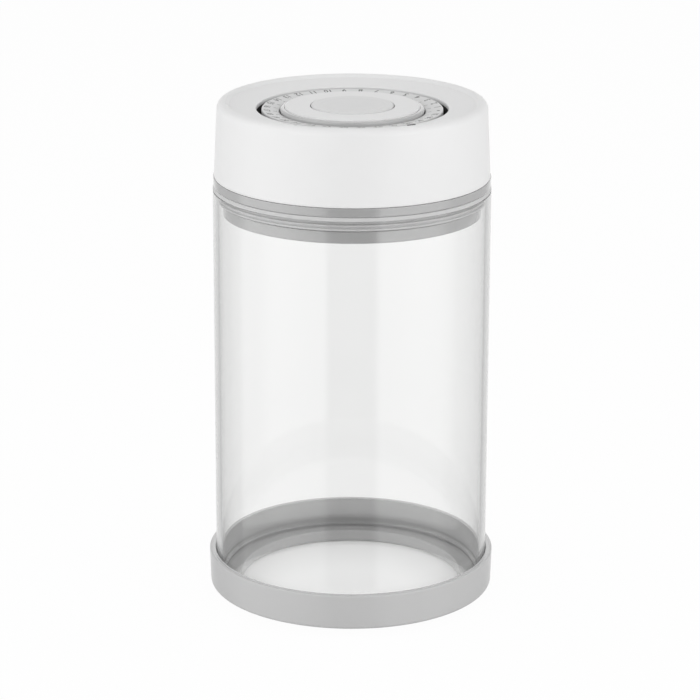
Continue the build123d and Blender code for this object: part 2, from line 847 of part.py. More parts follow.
# The piston: a ribless cup on the rod's end, grooved for its ring and ported for the outlet
with BuildPart() as piston:
    ring_bottom = piston_bottom + piston_ring_lift
    ring_top = ring_bottom + piston_ring_height
    plate_bottom = piston_top - piston_plate_thickness
    turned(
        (rod_spigot_radius + press_clearance, clip_top),
        (piston_hub_radius, clip_top),
        (piston_hub_radius, plate_bottom),
        (piston_radius - piston_wall, plate_bottom),
        (piston_radius - piston_wall, piston_bottom),
        (piston_radius, piston_bottom),
        (piston_radius, ring_bottom - press_clearance),
        (piston_groove_radius - press_clearance, ring_bottom - press_clearance),
        (piston_groove_radius - press_clearance, ring_top + press_clearance),
        (piston_radius, ring_top + press_clearance),
        (piston_radius, piston_top),
        (rod_spigot_radius + press_clearance, piston_top),
    )
    ring_of_holes(port_radius, outlet_port_circle, port_count, plate_bottom, piston_top)
piston.part.label = "piston"
export_step(piston.part, "parts/piston.step")

with BuildPart() as piston_ring:
    tube(piston_ring_outer_radius, piston_groove_radius, ring_bottom, ring_top)
    outer_edges = piston_ring.edges().filter_by(GeomType.CIRCLE).group_by(SortBy.RADIUS)[-1]
    fillet(outer_edges, piston_ring_round)
piston_ring.part.label = "piston_ring"
export_step(piston_ring.part, "parts/piston_ring.step")

# The outlet valve: a thin soft washer over the piston's ports, clamped by the rod's collar
with BuildPart() as outlet_valve:
    tube(flap_radius, rod_spigot_radius + press_clearance, piston_top, flap_top)
outlet_valve.part.label = "outlet_valve"
export_step(outlet_valve.part, "parts/outlet_valve.step")


# The piston's clip: an open spring-steel ring in the groove at the rod's end
with BuildPart() as piston_clip:
    clip_radius = rod_spigot_radius + clip_reach
    tube(clip_radius, clip_groove_radius + press_clearance, clip_bottom, clip_top)
    with BuildSketch(Plane.XY.offset(clip_bottom - cut_overrun)):
        with BuildLine():
            Polyline(
                (0, 0),
                (2 * clip_radius, -2 * clip_radius * sin(clip_opening / 2 * pi / 180)),
                (2 * clip_radius, 2 * clip_radius * sin(clip_opening / 2 * pi / 180)),
                close=True,
            )
        make_face()
    extrude(amount=clip_thickness + 2 * cut_overrun, mode=Mode.SUBTRACT)
piston_clip.part.label = "piston_clip"
export_step(piston_clip.part, "parts/piston_clip.step")


# The stem's seal and the washer that keeps it in and seats the button's spring
with BuildPart() as stem_seal:
    stem_seal_circle = stem_radius + press_clearance + stem_seal_radius
    stem_seal_height = web_top - stem_seal_well + stem_seal_radius + press_clearance
    o_ring(stem_seal_circle, stem_seal_radius, stem_seal_height)
stem_seal.part.label = "stem_seal"
export_step(stem_seal.part, "parts/stem_seal.step")

with BuildPart() as spring_washer:
    tube(washer_radius, stem_bore_radius, web_top, washer_top)
spring_washer.part.label = "spring_washer"
export_step(spring_washer.part, "parts/spring_washer.step")


# The release button: a dished cap with a lip that keeps it under the knob's collar
with BuildPart() as release_button:
    with BuildSketch(Plane.XZ) as button_profile:
        with BuildLine():
            dish_curve = (dish_radius**2 + dish_depth**2) / (2 * dish_depth)
            dish_angle = degrees(asin(dish_radius / dish_curve))
            dish = CenterArc(
                (0, button_top - dish_depth + dish_curve), dish_curve, 270, dish_angle
            )
            Polyline(
                dish @ 1,
                (button_radius, button_top),
                (button_radius, button_bottom + button_lip_height),
                (button_radius + button_lip_width, button_bottom + button_lip_height),
                (button_radius + button_lip_width, button_bottom),
                (button_radius - button_wall, button_bottom),
                (button_radius - button_wall, button_underside),
                (button_hub_radius, button_underside),
                (button_hub_radius, button_hub_bottom),
                (0, button_hub_bottom),
                dish @ 0,
            )
        make_face()
        round_corners(button_profile, button_edge_round, (button_radius, button_top))
    revolve(axis=Axis.Z)
    with BuildSketch(Plane.XY.offset(button_hub_bottom - cut_overrun)):
        Circle(stem_radius + press_clearance)
    extrude(amount=stem_press_depth + cut_overrun, mode=Mode.SUBTRACT)
release_button.part.label = "release_button"
export_step(release_button.part, "parts/release_button.step")

with BuildPart() as release_stem:
    with BuildSketch(Plane.XY.offset(stem_tip)):
        Circle(stem_radius)
    extrude(amount=stem_top - stem_tip)
    fillet(release_stem.edges().group_by(Axis.Z)[0], stem_tip_round)
release_stem.part.label = "release_stem"
export_step(release_stem.part, "parts/release_stem.step")


def helix_point(turn, start, rise):
    """A point of the spring's centre line, after so many turns."""
    angle = 2 * pi * turn
    return Vector(
        spring_coil_radius * cos(angle), spring_coil_radius * sin(angle), start + rise * turn
    )


def helix_direction(turn, rise):
    """The way the centre line runs there, as a unit vector."""
    angle = 2 * pi * turn
    around = 2 * pi * spring_coil_radius
    return Vector(-around * sin(angle), around * cos(angle), rise).normalized()


def biarc(start, start_way, end, end_way):
    """Two arcs that leave start and reach end along the given directions and meet smoothly."""
    span = end - start
    both = start_way + end_way
    spread = 2 * (1 - start_way.dot(end_way))
    along = span.dot(both)
    reach = (sqrt(along**2 + spread * span.dot(span)) - along) / spread
    first_knee = start + start_way * reach
    last_knee = end - end_way * reach
    middle = (first_knee + last_knee) * (1 / 2)
    TangentArc(start, middle, tangent=start_way)
    TangentArc(middle, end, tangent=last_knee - first_knee)


# The button's spring: four open turns of round wire, each a chain of quarter-turn biarcs
spring_start = washer_top + spring_end_gap + spring_wire_radius
spring_end = button_underside - spring_end_gap - spring_wire_radius
spring_pitch = (spring_end - spring_start) / spring_turns
quarters = 4 * spring_turns
with BuildPart() as button_spring:
    with BuildLine() as coil:
        for quarter in range(quarters):
            biarc(
                helix_point(quarter / 4, spring_start, spring_pitch),
                helix_direction(quarter / 4, spring_pitch),
                helix_point((quarter + 1) / 4, spring_start, spring_pitch),
                helix_direction((quarter + 1) / 4, spring_pitch),
            )
    with BuildSketch(Plane(origin=coil.wire() @ 0, z_dir=coil.wire() % 0)):
        Circle(spring_wire_radius)
    sweep()
button_spring.part.label = "button_spring"
export_step(button_spring.part, "parts/button_spring.step")


# The least gap between one turn of the spring and the next, measured between points on both
steps_in_turn = 48
lower_turn = [helix_point(i / steps_in_turn, spring_start, spring_pitch) for i in range(steps_in_turn)]
upper_turn = [
    helix_point(1 / 2 + i / steps_in_turn, spring_start, spring_pitch)
    for i in range(2 * steps_in_turn)
]
spring_gap = min(
    (low - high).length
    for i, low in enumerate(lower_turn)
    for j, high in enumerate(upper_turn)
    if abs(steps_in_turn / 2 + j - i) >= steps_in_turn / 2
)
print("spring: least gap between turns", round(spring_gap - 2 * spring_wire_radius, 3), "mm")
print("pump stroke", round(pump_stroke, 3), "mm, overall height", round(shell_top, 3), "mm")
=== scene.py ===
# %% [markdown]
# # A glass canister with a vacuum pump in its lid
#
# This lesson dresses a finished construction model. The jar, the lid, the pump knob, the button and
# the date dial already have their sizes and places, so nothing is moved here. What is missing is
# the look: clear glass, satin white and grey plastic, soft seals, printed numbers and soft light.
#
# Every length is in metres. The next cell loads the model.

# %% Load the frame
from math import atan, cos, pi, radians, sin, tan

import bmesh
import bpy
from mathutils import Matrix, Quaternion, Vector


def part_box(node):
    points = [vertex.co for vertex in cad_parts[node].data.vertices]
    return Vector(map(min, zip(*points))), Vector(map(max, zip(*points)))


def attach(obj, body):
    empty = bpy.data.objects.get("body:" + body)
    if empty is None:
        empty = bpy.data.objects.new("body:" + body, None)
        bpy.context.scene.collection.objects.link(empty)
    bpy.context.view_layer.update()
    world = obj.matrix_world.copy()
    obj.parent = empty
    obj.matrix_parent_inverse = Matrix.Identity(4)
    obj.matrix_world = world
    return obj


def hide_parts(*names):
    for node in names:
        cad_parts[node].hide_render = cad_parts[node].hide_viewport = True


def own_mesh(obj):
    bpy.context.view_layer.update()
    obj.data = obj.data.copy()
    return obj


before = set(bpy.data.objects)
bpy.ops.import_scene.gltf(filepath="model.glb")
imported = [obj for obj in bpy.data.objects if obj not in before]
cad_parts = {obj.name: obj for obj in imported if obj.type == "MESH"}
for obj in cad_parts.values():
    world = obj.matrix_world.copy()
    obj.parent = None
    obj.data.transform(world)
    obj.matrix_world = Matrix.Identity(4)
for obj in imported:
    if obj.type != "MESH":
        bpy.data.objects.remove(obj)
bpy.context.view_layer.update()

mm = 0.001

# %% [markdown]
# ## Sizes to work from
#
# The construction model says how wide and how tall each piece is. A piece's box is read once, and
# the widest radius is the box's reach along X, because every piece is turned about the Z axis. The
# walls and steps that a box can't show are named by their real sizes, in the cells that use them.

# %% Read the boxes of the visible pieces


def reach(node):
    """The widest radius, the lowest and the highest point of a turned piece."""
    low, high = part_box(node)
    return high[0], low[2], high[2]


glass_radius, glass_bottom, glass_rim = reach("glass_jar")
base_radius, rim_bottom, base_top = reach("base_ring")
foot_radius, table, foot_top = reach("foot_ring")
flange_radius, _, spigot_top = reach("lid_plug")
seal_radius, _, _ = reach("mouth_seal")
_, shell_bottom, shell_top = reach("lid_shell")
dial_radius, dial_low, dial_top = reach("date_dial")
knob_radius, rod_end, sleeve_top = reach("knob_body")
cap_radius, collar_bottom, knob_top = reach("knob_cap")
button_lip_radius, button_hub_end, button_top = reach("release_button")
print("glass radius", round(glass_radius / mm, 2), "mm, rim at", round(glass_rim / mm, 2), "mm")

# %% [markdown]
# ## Turning a piece on the lathe
#
# Almost every visible piece is round, so it is made as a potter or a lathe would make it: an
# outline is drawn once and swept round the axis. The other way would be a Screw modifier on a
# curve, but plain mesh code lets us round each corner by its own radius and add a holding row of
# points beside it, which keeps the shading of long walls straight.
#
# An outline is a list of corners: radius, height and how far the corner is rounded. Most edges
# share a few roundings, named here. A rounding that only one place has is named with its piece.

# %% Round the corners of an outline
sharp = 0
fine_edge = 0.15 * mm
small_edge = 0.2 * mm
soft_edge = 0.3 * mm
wide_edge = 0.4 * mm
round_edge = 0.5 * mm


def rounded(corners, steps=6, hold=0.25 * mm):
    """The points of a closed outline whose corners are arcs, with holding points beside each arc.

    A side only gets its holding points where it is long enough for them.
    """
    nearly_straight = radians(89)
    points = []
    for i, (radius, height, rounding) in enumerate(corners):
        here = Vector((radius, height))
        back = Vector(corners[i - 1][:2]) - here
        ahead = Vector(corners[(i + 1) % len(corners)][:2]) - here
        back_way, ahead_way = back.normalized(), ahead.normalized()
        half = back.angle(ahead) / 2
        if rounding and half < nearly_straight:
            cut = rounding / tan(half)
            centre = here + (back_way + ahead_way).normalized() * (rounding / sin(half))
            first = here + back_way * cut - centre
            last = here + ahead_way * cut - centre
            sweep = first.angle(last)
            arc = [
                centre + (first * sin((1 - t) * sweep) + last * sin(t * sweep)) / sin(sweep)
                for t in [step / steps for step in range(steps + 1)]
            ]
        else:
            cut = 0
            arc = [here]
        if back.length > cut + 4 * hold:
            points.append(here + back_way * (cut + hold))
        points += arc
        if ahead.length > cut + 4 * hold:
            points.append(here + ahead_way * (cut + hold))
    return points


sample = rounded([(0, 0, sharp), (10 * mm, 0, 1 * mm), (10 * mm, 10 * mm, sharp)])
print("a triangle with one corner rounded by 1 mm has", len(sample), "points")

# %% [markdown]
# The turned mesh joins each outline point to the next with a ring of faces. Where the outline
# touches the axis, the ring shrinks to one point, and points that no face uses are taken out again.
# Faces are shaded smooth, and edges that bend by more than 30 degrees stay crisp, as a real moulded
# step does.

# %% Turn an outline into a mesh
turning_steps = 180
on_axis = 0.0001 * mm


def mesh_piece(name, form, body, smooth_to=30):
    """An object from a bmesh, shaded smooth up to an angle, riding on a body."""
    mesh = bpy.data.meshes.new(name)
    bmesh.ops.recalc_face_normals(form, faces=form.faces)
    form.to_mesh(mesh)
    form.free()
    mesh.polygons.foreach_set("use_smooth", [True] * len(mesh.polygons))
    mesh.set_sharp_from_angle(angle=radians(smooth_to))
    piece = bpy.data.objects.new(name, mesh)
    bpy.context.scene.collection.objects.link(piece)
    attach(piece, body)
    return piece


def turned(name, corners, body):
    """A closed outline swept round the Z axis."""
    form = bmesh.new()
    angles = [2 * pi * step / turning_steps for step in range(turning_steps)]
    rows = []
    for point in rounded(corners):
        if point.x < on_axis:
            rows.append([form.verts.new((0, 0, point.y))])
        else:
            rows.append([form.verts.new((point.x * cos(a), point.x * sin(a), point.y)) for a in angles])
    for this, after in zip(rows, rows[1:] + rows[:1]):
        for step in range(turning_steps):
            beside = (step + 1) % turning_steps
            if len(this) > 1 and len(after) > 1:
                form.faces.new((this[step], this[beside], after[beside], after[step]))
            elif len(this) > 1:
                form.faces.new((this[step], this[beside], after[0]))
            elif len(after) > 1:
                form.faces.new((this[0], after[beside], after[step]))
    loose = [point for point in form.verts if not point.link_faces]
    bmesh.ops.delete(form, geom=loose, context="VERTS")
    piece = mesh_piece(name, form, body)
    print(name, "has", len(piece.data.vertices), "points")
    return piece


print("an outline is swept round the axis in", turning_steps, "steps")

# %% [markdown]
# ## The jar
#
# The jar is one piece of borosilicate glass, 2.2 mm thick all the way round, with a flat floor.
# What the eye reads as glass is its edge: light that enters the wall at a slant runs inside it for
# a long way and leaves darker. That only happens if both faces of the wall are there, so the
# outline goes up the outside, over the fire-rounded rim and down the inside.
#
# Two surfaces in exactly the same place show as noise, so pieces that stand on one another are
# kept a few hundredths of a millimetre apart. That is the skin gap.

# %% Turn the jar
wall = 2.2 * mm
floor_thickness = 2.4 * mm
heel_rounding = 2.6 * mm
floor_rounding = 2.0 * mm
rim_rounding = 0.7 * mm
skin_gap = 0.04 * mm
glass_inside = glass_radius - wall
floor_top = glass_bottom + floor_thickness
jar_low = glass_bottom + skin_gap
jar_high = glass_rim - skin_gap
jar_body = turned(
    "jar_body",
    [
        (0, jar_low, sharp),
        (glass_radius, jar_low, heel_rounding),
        (glass_radius, jar_high, rim_rounding),
        (glass_inside, jar_high, rim_rounding),
        (glass_inside, floor_top, floor_rounding),
        (0, floor_top, sharp),
    ],
    "jar",
)
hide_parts("glass_jar")

# %% [markdown]
# The base ring is grey plastic: a low wall round the glass, which stops short of the table, and
# under the glass a ledge that stands on a rim of its own. The middle is open, so that the table
# shows through. The foot is a soft ring let into the standing rim. Its groove could be cut with a
# Boolean modifier, but in a turned outline a groove is only four more corners.

# %% Turn the base ring and the foot
base_wall = 2.4 * mm
base_draft = 0.4 * mm
base_lift = 2.5 * mm
base_heel_rounding = 1.2 * mm
base_top_rounding = 0.7 * mm
ledge_width = 10.1 * mm
ledge_rounding = 0.25 * mm
standing_rim_width = 4.8 * mm
foot_width = 3.2 * mm
foot_rounding = 0.12 * mm
groove_gap = 0.05 * mm
wall_bottom = rim_bottom + base_lift
base_inside = base_radius - base_wall
ledge_inside = base_inside - ledge_width
ledge_top = glass_bottom
standing_rim = ledge_inside + standing_rim_width
foot_inside = foot_radius - foot_width
groove_inner = foot_inside - groove_gap
groove_outer = foot_radius + groove_gap
base_band = turned(
    "base_band",
    [
        (ledge_inside, rim_bottom, fine_edge),
        (groove_inner, rim_bottom, sharp),
        (groove_inner, foot_top, sharp),
        (groove_outer, foot_top, sharp),
        (groove_outer, rim_bottom, sharp),
        (standing_rim, rim_bottom, small_edge),
        (standing_rim, wall_bottom, small_edge),
        (base_radius - base_draft, wall_bottom, base_heel_rounding),
        (base_radius, base_top, base_top_rounding),
        (base_inside, base_top, round_edge),
        (base_inside, ledge_top, small_edge),
        (ledge_inside, ledge_top, ledge_rounding),
    ],
    "jar",
)
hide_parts("base_ring")

foot_band = turned(
    "foot_band",
    [
        (foot_inside, table, foot_rounding),
        (foot_radius, table, foot_rounding),
        (foot_radius, foot_top - skin_gap, sharp),
        (foot_inside, foot_top - skin_gap, sharp),
    ],
    "jar",
)
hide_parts("foot_ring")

# %% [markdown]
# ## The lid
#
# The white shell tapers a little towards the top, as a moulded cap has to, to come off its core.
# Its side rolls over a 3 mm edge into a rim. Inside the rim the face falls gently towards the
# well, and the well's wall and floor make the dark gap round the dial. The outline has one more
# point on the well's wall, where a near-black finish starts, painted shade for the gap. The shell's
# wall is 2 mm thick. A Solidify modifier could give it that, but the well's wall and floor are
# thinner, so both faces are drawn.

# %% Turn the shell
shell_inset = 0.5 * mm
draft = 1.35 * mm
shell_wall = 2.0 * mm
shell_roll = 2.9 * mm
shell_core_rounding = 1.0 * mm
rim_crest_width = 3.2 * mm
rim_slope_width = 1.25 * mm
rim_height = 1.2 * mm
face_fall = 1.6 * mm
well_gap = 2.0 * mm
well_depth = 5.9 * mm
well_wall = 1.8 * mm
well_floor = 1.8 * mm
# How far down the well's wall the near-black finish reaches: painted shade for the gap round the dial
shade_finish_depth = 1.6 * mm
hole_gap = 1.4 * mm
shell_low_radius = glass_radius - shell_inset
shell_high_radius = shell_low_radius - draft
rim_crest = shell_high_radius - rim_crest_width
face_radius = rim_crest - rim_slope_width
face_height = shell_top - rim_height
well_radius = dial_radius + well_gap
well_edge = face_height - face_fall
well_bottom = well_edge - well_depth
well_underside = well_bottom - well_floor
shade_finish_top = well_edge - shade_finish_depth
dial_hole = knob_radius + hole_gap
lid_cap = turned(
    "lid_cap",
    [
        (shell_low_radius - shell_wall, shell_bottom, small_edge),
        (shell_low_radius, shell_bottom, soft_edge),
        (shell_high_radius, shell_top, shell_roll),
        (rim_crest, shell_top, wide_edge),
        (face_radius, face_height, wide_edge),
        (well_radius, well_edge, wide_edge),
        (well_radius, shade_finish_top, sharp),
        (well_radius, well_bottom, soft_edge),
        (dial_hole, well_bottom, fine_edge),
        (dial_hole, well_underside, fine_edge),
        (well_radius + well_wall, well_underside, sharp),
        (well_radius + well_wall, well_edge - shell_wall, soft_edge),
        (face_radius, face_height - shell_wall, sharp),
        (shell_high_radius - shell_wall, face_height - shell_wall, shell_core_rounding),
    ],
    "lid",
)
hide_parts("lid_shell")

# %% [markdown]
# Under the shell hangs the grey plug, a cup with a flange. Through the glass it shows as bands:
# the flange's edge, the seal on the glass rim, three soft lips and the plain band at the bottom.
# The plug is one outline, and both seals take their places from its sizes, so the bands can't
# drift apart.

# %% Turn the plug
flange_thickness = 3.4 * mm
flange_top_rounding = 0.1 * mm
seal_thickness = 1.0 * mm
plug_reach = 10.5 * mm
plug_wall = 2.0 * mm
plug_floor_thickness = 2.2 * mm
plug_rounding = 0.6 * mm
plug_glass_gap = 1.6 * mm
band_height = 4.6 * mm
neck_depth = 1.3 * mm
spigot_gap = 0.55 * mm
spigot_wall = 2.2 * mm
spigot_lift = 3.0 * mm
shoulder_lift = 1.0 * mm
tongue_inset = 0.8 * mm
tongue_width = 1.4 * mm
tongue_height = 0.8 * mm
plug_bottom = glass_rim + seal_thickness - plug_reach
plug_floor = plug_bottom + plug_floor_thickness
flange_bottom = shell_bottom - flange_thickness
flange_top = shell_bottom - skin_gap
band_radius = glass_inside - plug_glass_gap
band_top = plug_bottom + band_height
neck_radius = band_radius - neck_depth
cup_radius = neck_radius - plug_wall
spigot_radius = shell_low_radius - shell_wall - spigot_gap
spigot_inside = spigot_radius - spigot_wall
tongue_outer = glass_radius - tongue_inset
tongue_inner = tongue_outer - tongue_width
tongue_top = flange_bottom + tongue_height
plug_cup = turned(
    "plug_cup",
    [
        (0, plug_bottom, sharp),
        (band_radius, plug_bottom, plug_rounding),
        (band_radius, band_top, soft_edge),
        (neck_radius, band_top, sharp),
        (neck_radius, flange_bottom, small_edge),
        (tongue_inner - groove_gap, flange_bottom, sharp),
        (tongue_inner - groove_gap, tongue_top, sharp),
        (tongue_outer + groove_gap, tongue_top, sharp),
        (tongue_outer + groove_gap, flange_bottom, sharp),
        (flange_radius, flange_bottom, plug_rounding),
        (flange_radius, flange_top, flange_top_rounding),
        (spigot_radius, flange_top, sharp),
        (spigot_radius, spigot_top, soft_edge),
        (spigot_inside, spigot_top, soft_edge),
        (spigot_inside, flange_bottom + spigot_lift, sharp),
        (cup_radius, flange_bottom + shoulder_lift, sharp),
        (cup_radius, plug_floor, round_edge),
        (0, plug_floor, sharp),
    ],
    "lid",
)
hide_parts("lid_plug")

# %% [markdown]
# The mouth seal is a flat ring between the flange and the rim, held by a tongue in the flange's
# groove. Soft silicone gives a little under the lid, so its outer edge turns down over the rounded
# corner of the rim. The rim's rounding is a quarter circle, and a loop follows it at a small gap.

# %% Turn the mouth seal
seal_neck_gap = 2.1 * mm
edge_inset = 0.05 * mm
edge_gap = 0.05 * mm
edge_height = 0.1 * mm
edge_drop = 0.3 * mm
edge_shares = (0.45, 0.7, 0.85, 1.0)
seal_inner = neck_radius + seal_neck_gap
seal_edge = glass_radius - edge_inset
seal_top = flange_bottom - skin_gap
rounding_start = glass_radius - rim_rounding
edge_corners = []
for share in edge_shares:
    outwards = (seal_edge - rounding_start) * share
    depth = rim_rounding - (rim_rounding**2 - outwards**2) ** 0.5
    edge_corners.append((rounding_start + outwards, glass_rim - max(0, depth - edge_gap), sharp))
rim_seal = turned(
    "rim_seal",
    [
        (seal_inner, glass_rim, small_edge),
        *edge_corners,
        (seal_edge, glass_rim + edge_height, sharp),
        (seal_radius, flange_bottom - edge_drop, sharp),
        (seal_radius, seal_top, small_edge),
        (tongue_outer, seal_top, sharp),
        (tongue_outer, tongue_top - groove_gap, sharp),
        (tongue_inner, tongue_top - groove_gap, sharp),
        (tongue_inner, seal_top, sharp),
        (seal_inner, seal_top, small_edge),
    ],
    "lid",
)
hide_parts("mouth_seal")

# %% [markdown]
# The lips of the seal are the same shape three times over, so they come from a loop. An Array
# modifier would leave three loose rings, and the real seal is one sleeve. Each lip is thick at its
# root and thin at its edge, and its edge is nearly a half circle.

# %% Turn the lipped seal
lips = 3
lip_glass_gap = 0.3 * mm
lip_root_half = 0.5 * mm
lip_edge_half = 0.25 * mm
sleeve_gap = 0.05 * mm
sleeve_wall = 1.65 * mm
sleeve_end_gap = 0.25 * mm
lip_reach = glass_inside - lip_glass_gap
sleeve_inner = neck_radius + sleeve_gap
sleeve_outer = sleeve_inner + sleeve_wall
sleeve_low = band_top + sleeve_end_gap
sleeve_high = glass_rim - sleeve_end_gap
pitch = (sleeve_high - sleeve_low) / lips
seal_outline = [
    (sleeve_inner, sleeve_high, sharp),
    (sleeve_inner, sleeve_low, sharp),
    (sleeve_outer, sleeve_low, sharp),
]
for lip in range(lips):
    middle = sleeve_low + (lip + 0.5) * pitch
    seal_outline += [
        (sleeve_outer, middle - lip_root_half, fine_edge),
        (lip_reach, middle - lip_edge_half, small_edge),
        (lip_reach, middle + lip_edge_half, small_edge),
        (sleeve_outer, middle + lip_root_half, fine_edge),
    ]
seal_outline.append((sleeve_outer, sleeve_high, sharp))
lip_seal = turned("lip_seal", seal_outline, "lid")
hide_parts("plug_seal")

# %% [markdown]
# ## The dial, the knob and the button
#
# The dial is a light grey ring that turns round the knob, and its top slopes down towards it. It
# is hollow underneath, and below the well's floor it spreads into a snap that holds it down.

# %% Turn the dial
knob_dial_gap = 0.4 * mm
dial_fall = 1.1 * mm
dial_plate = 1.3 * mm
dial_skirt = 1.2 * mm
dial_sleeve = 0.9 * mm
dial_snap_reach = 1.7 * mm
running_gap = 0.3 * mm
dial_bore = knob_radius + knob_dial_gap
dial_sleeve_outer = dial_bore + dial_sleeve
dial_skirt_inner = dial_radius - dial_skirt
dial_inner_top = dial_top - dial_fall
dial_under = well_bottom + running_gap
dial_snap = well_underside - running_gap
dial_ring = turned(
    "dial_ring",
    [
        (dial_bore, dial_low, sharp),
        (dial_sleeve_outer, dial_low, sharp),
        (dial_bore + dial_snap_reach, dial_snap, sharp),
        (dial_sleeve_outer, dial_snap, sharp),
        (dial_sleeve_outer, dial_inner_top - dial_plate, sharp),
        (dial_skirt_inner, dial_top - dial_plate, sharp),
        (dial_skirt_inner, dial_under, sharp),
        (dial_radius, dial_under, small_edge),
        (dial_radius, dial_top, wide_edge),
        (dial_bore, dial_inner_top, wide_edge),
    ],
    "dial",
)
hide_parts("date_dial")

# %% [markdown]
# The knob is a deep grey sleeve with a rounded shoulder and a white disc let into its mouth. A web
# inside the sleeve carries the hollow rod down to the piston, so the outline runs up the rod, along
# the web, down and round the sleeve's wall and back over the web to the rod's bore.

# %% Turn the knob's sleeve
knob_wall = 2.4 * mm
knob_height = 17.95 * mm
knob_shoulder_width = 1.6 * mm
knob_shoulder_rounding = 1.0 * mm
knob_well_depth = 9.45 * mm
web_thickness = 2.0 * mm
disc_sunk = 1.2 * mm
rod_radius = 6.0 * mm
rod_bore = 1.8 * mm
rod_spigot_radius = 4.5 * mm
rod_spigot_height = 7.1 * mm
rod_collar_radius = 8.0 * mm
rod_collar_height = 1.5 * mm
stem_well_radius = 3.0 * mm
stem_well_depth = 1.5 * mm
knob_inside = knob_radius - knob_wall
mouth_radius = knob_radius - knob_shoulder_width
disc_seat = sleeve_top - disc_sunk
web_top = knob_top - knob_well_depth
web_bottom = web_top - web_thickness
sleeve_bottom = knob_top - knob_height
rod_collar_low = rod_end + rod_spigot_height
rod_collar_high = rod_collar_low + rod_collar_height
stem_well_floor = web_top - stem_well_depth
knob_sleeve = turned(
    "knob_sleeve",
    [
        (rod_bore, rod_end, sharp),
        (rod_spigot_radius, rod_end, small_edge),
        (rod_spigot_radius, rod_collar_low, sharp),
        (rod_collar_radius, rod_collar_low, sharp),
        (rod_collar_radius, rod_collar_high, small_edge),
        (rod_radius, rod_collar_high, sharp),
        (rod_radius, web_bottom, wide_edge),
        (knob_inside, web_bottom, wide_edge),
        (knob_inside, sleeve_bottom, small_edge),
        (knob_radius, sleeve_bottom, soft_edge),
        (knob_radius, sleeve_top, knob_shoulder_rounding),
        (mouth_radius, sleeve_top, small_edge),
        (mouth_radius, disc_seat, sharp),
        (knob_inside, disc_seat, sharp),
        (knob_inside, web_top, wide_edge),
        (stem_well_radius, web_top, sharp),
        (stem_well_radius, stem_well_floor, sharp),
        (rod_bore, stem_well_floor, sharp),
    ],
    "pump",
)
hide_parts("knob_body")

# %% [markdown]
# The white disc lies on a seat in the sleeve's mouth. The collar round its hole reaches down and
# stops the button's lip, so that the button can't come out. The disc and the sleeve could be one
# outline with two finishes, but on the real knob they are two mouldings, with a fine line between.

# %% Turn the knob's disc
button_lip_overlap = 0.8 * mm
disc_collar_wall = 1.6 * mm
button_hole = button_lip_radius - button_lip_overlap
disc_collar = button_hole + disc_collar_wall
disc_bottom = disc_seat + skin_gap
knob_disc = turned(
    "knob_disc",
    [
        (button_hole, collar_bottom, fine_edge),
        (disc_collar, collar_bottom, fine_edge),
        (disc_collar, disc_bottom, soft_edge),
        (cap_radius, disc_bottom, fine_edge),
        (cap_radius, knob_top, round_edge),
        (button_hole, knob_top, wide_edge),
    ],
    "pump",
)
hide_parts("knob_cap")

# %% [markdown]
# The button sits in the disc, hollowed for a fingertip. The hollow is part of a sphere, so its
# outline is an arc worked out from its width and depth. A lip at its foot keeps the button under
# the disc's collar, and a hub in its middle holds the top of the release stem.

# %% Turn the button
button_lip_width = 1.1 * mm
button_lip_height = 1.0 * mm
button_height = 5.0 * mm
button_thickness = 2.2 * mm
button_wall = 1.7 * mm
hub_radius = 3.0 * mm
socket_radius = 1.55 * mm
socket_depth = 4.3 * mm
dish_radius = 12.2 * mm
dish_depth = 1.4 * mm
dish_rounding = 0.8 * mm
dish_steps = 14
button_radius = button_lip_radius - button_lip_width
button_inside = button_radius - button_wall
button_low = button_top - button_height
button_lip_top = button_low + button_lip_height
button_under = button_top - button_thickness
socket_top = button_hub_end + socket_depth
dish_sphere = (dish_radius**2 + dish_depth**2) / (2 * dish_depth)
dish_corners = []
for step in range(dish_steps):
    across = dish_radius * step / dish_steps
    drop = dish_sphere - (dish_sphere**2 - across**2) ** 0.5
    dish_corners.append((across, button_top - dish_depth + drop, sharp))
button_cap = turned(
    "button_cap",
    [
        *dish_corners,
        (dish_radius, button_top, dish_rounding),
        (button_radius, button_top, round_edge),
        (button_radius, button_lip_top, sharp),
        (button_lip_radius, button_lip_top, fine_edge),
        (button_lip_radius, button_low, fine_edge),
        (button_inside, button_low, fine_edge),
        (button_inside, button_under, soft_edge),
        (hub_radius, button_under, soft_edge),
        (hub_radius, button_hub_end, small_edge),
        (socket_radius, button_hub_end, sharp),
        (socket_radius, socket_top, sharp),
        (0, socket_top, sharp),
    ],
    "button",
)
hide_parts("release_button")

# %% [markdown]
# Under the button is a spring. It stands on the knob, and the button's travel of 2 mm presses it
# together, which a rigid piece can't do.

# %% Coil the button's spring
spring_low, spring_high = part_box("button_spring")
wire = 0.35 * mm
turns = 4
steps_in_turn = 36
wire_sides = 10
coil_radius = spring_high[0] - wire
spring_height = spring_high[2] - spring_low[2]
climb = (spring_height - 2 * wire) / turns
spring_form = bmesh.new()
wire_angles = [2 * pi * side / wire_sides for side in range(wire_sides)]
rings = []
for step in range(turns * steps_in_turn + 1):
    angle = 2 * pi * step / steps_in_turn
    height = spring_low[2] + wire + climb * step / steps_in_turn
    outward = Vector((cos(angle), sin(angle), 0))
    along = Vector((-sin(angle), cos(angle), climb / (2 * pi * coil_radius))).normalized()
    across = outward.cross(along)
    middle = outward * coil_radius + Vector((0, 0, height))
    ring = [middle + (outward * cos(a) + across * sin(a)) * wire for a in wire_angles]
    rings.append([spring_form.verts.new(point) for point in ring])
for this, after in zip(rings, rings[1:]):
    for side in range(wire_sides):
        beside = (side + 1) % wire_sides
        spring_form.faces.new((this[side], this[beside], after[beside], after[side]))
spring_form.faces.new(rings[0])
spring_form.faces.new(rings[-1])
spring_coil = mesh_piece("spring_coil", spring_form, "pump", smooth_to=60)
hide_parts("button_spring")
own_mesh(spring_coil)
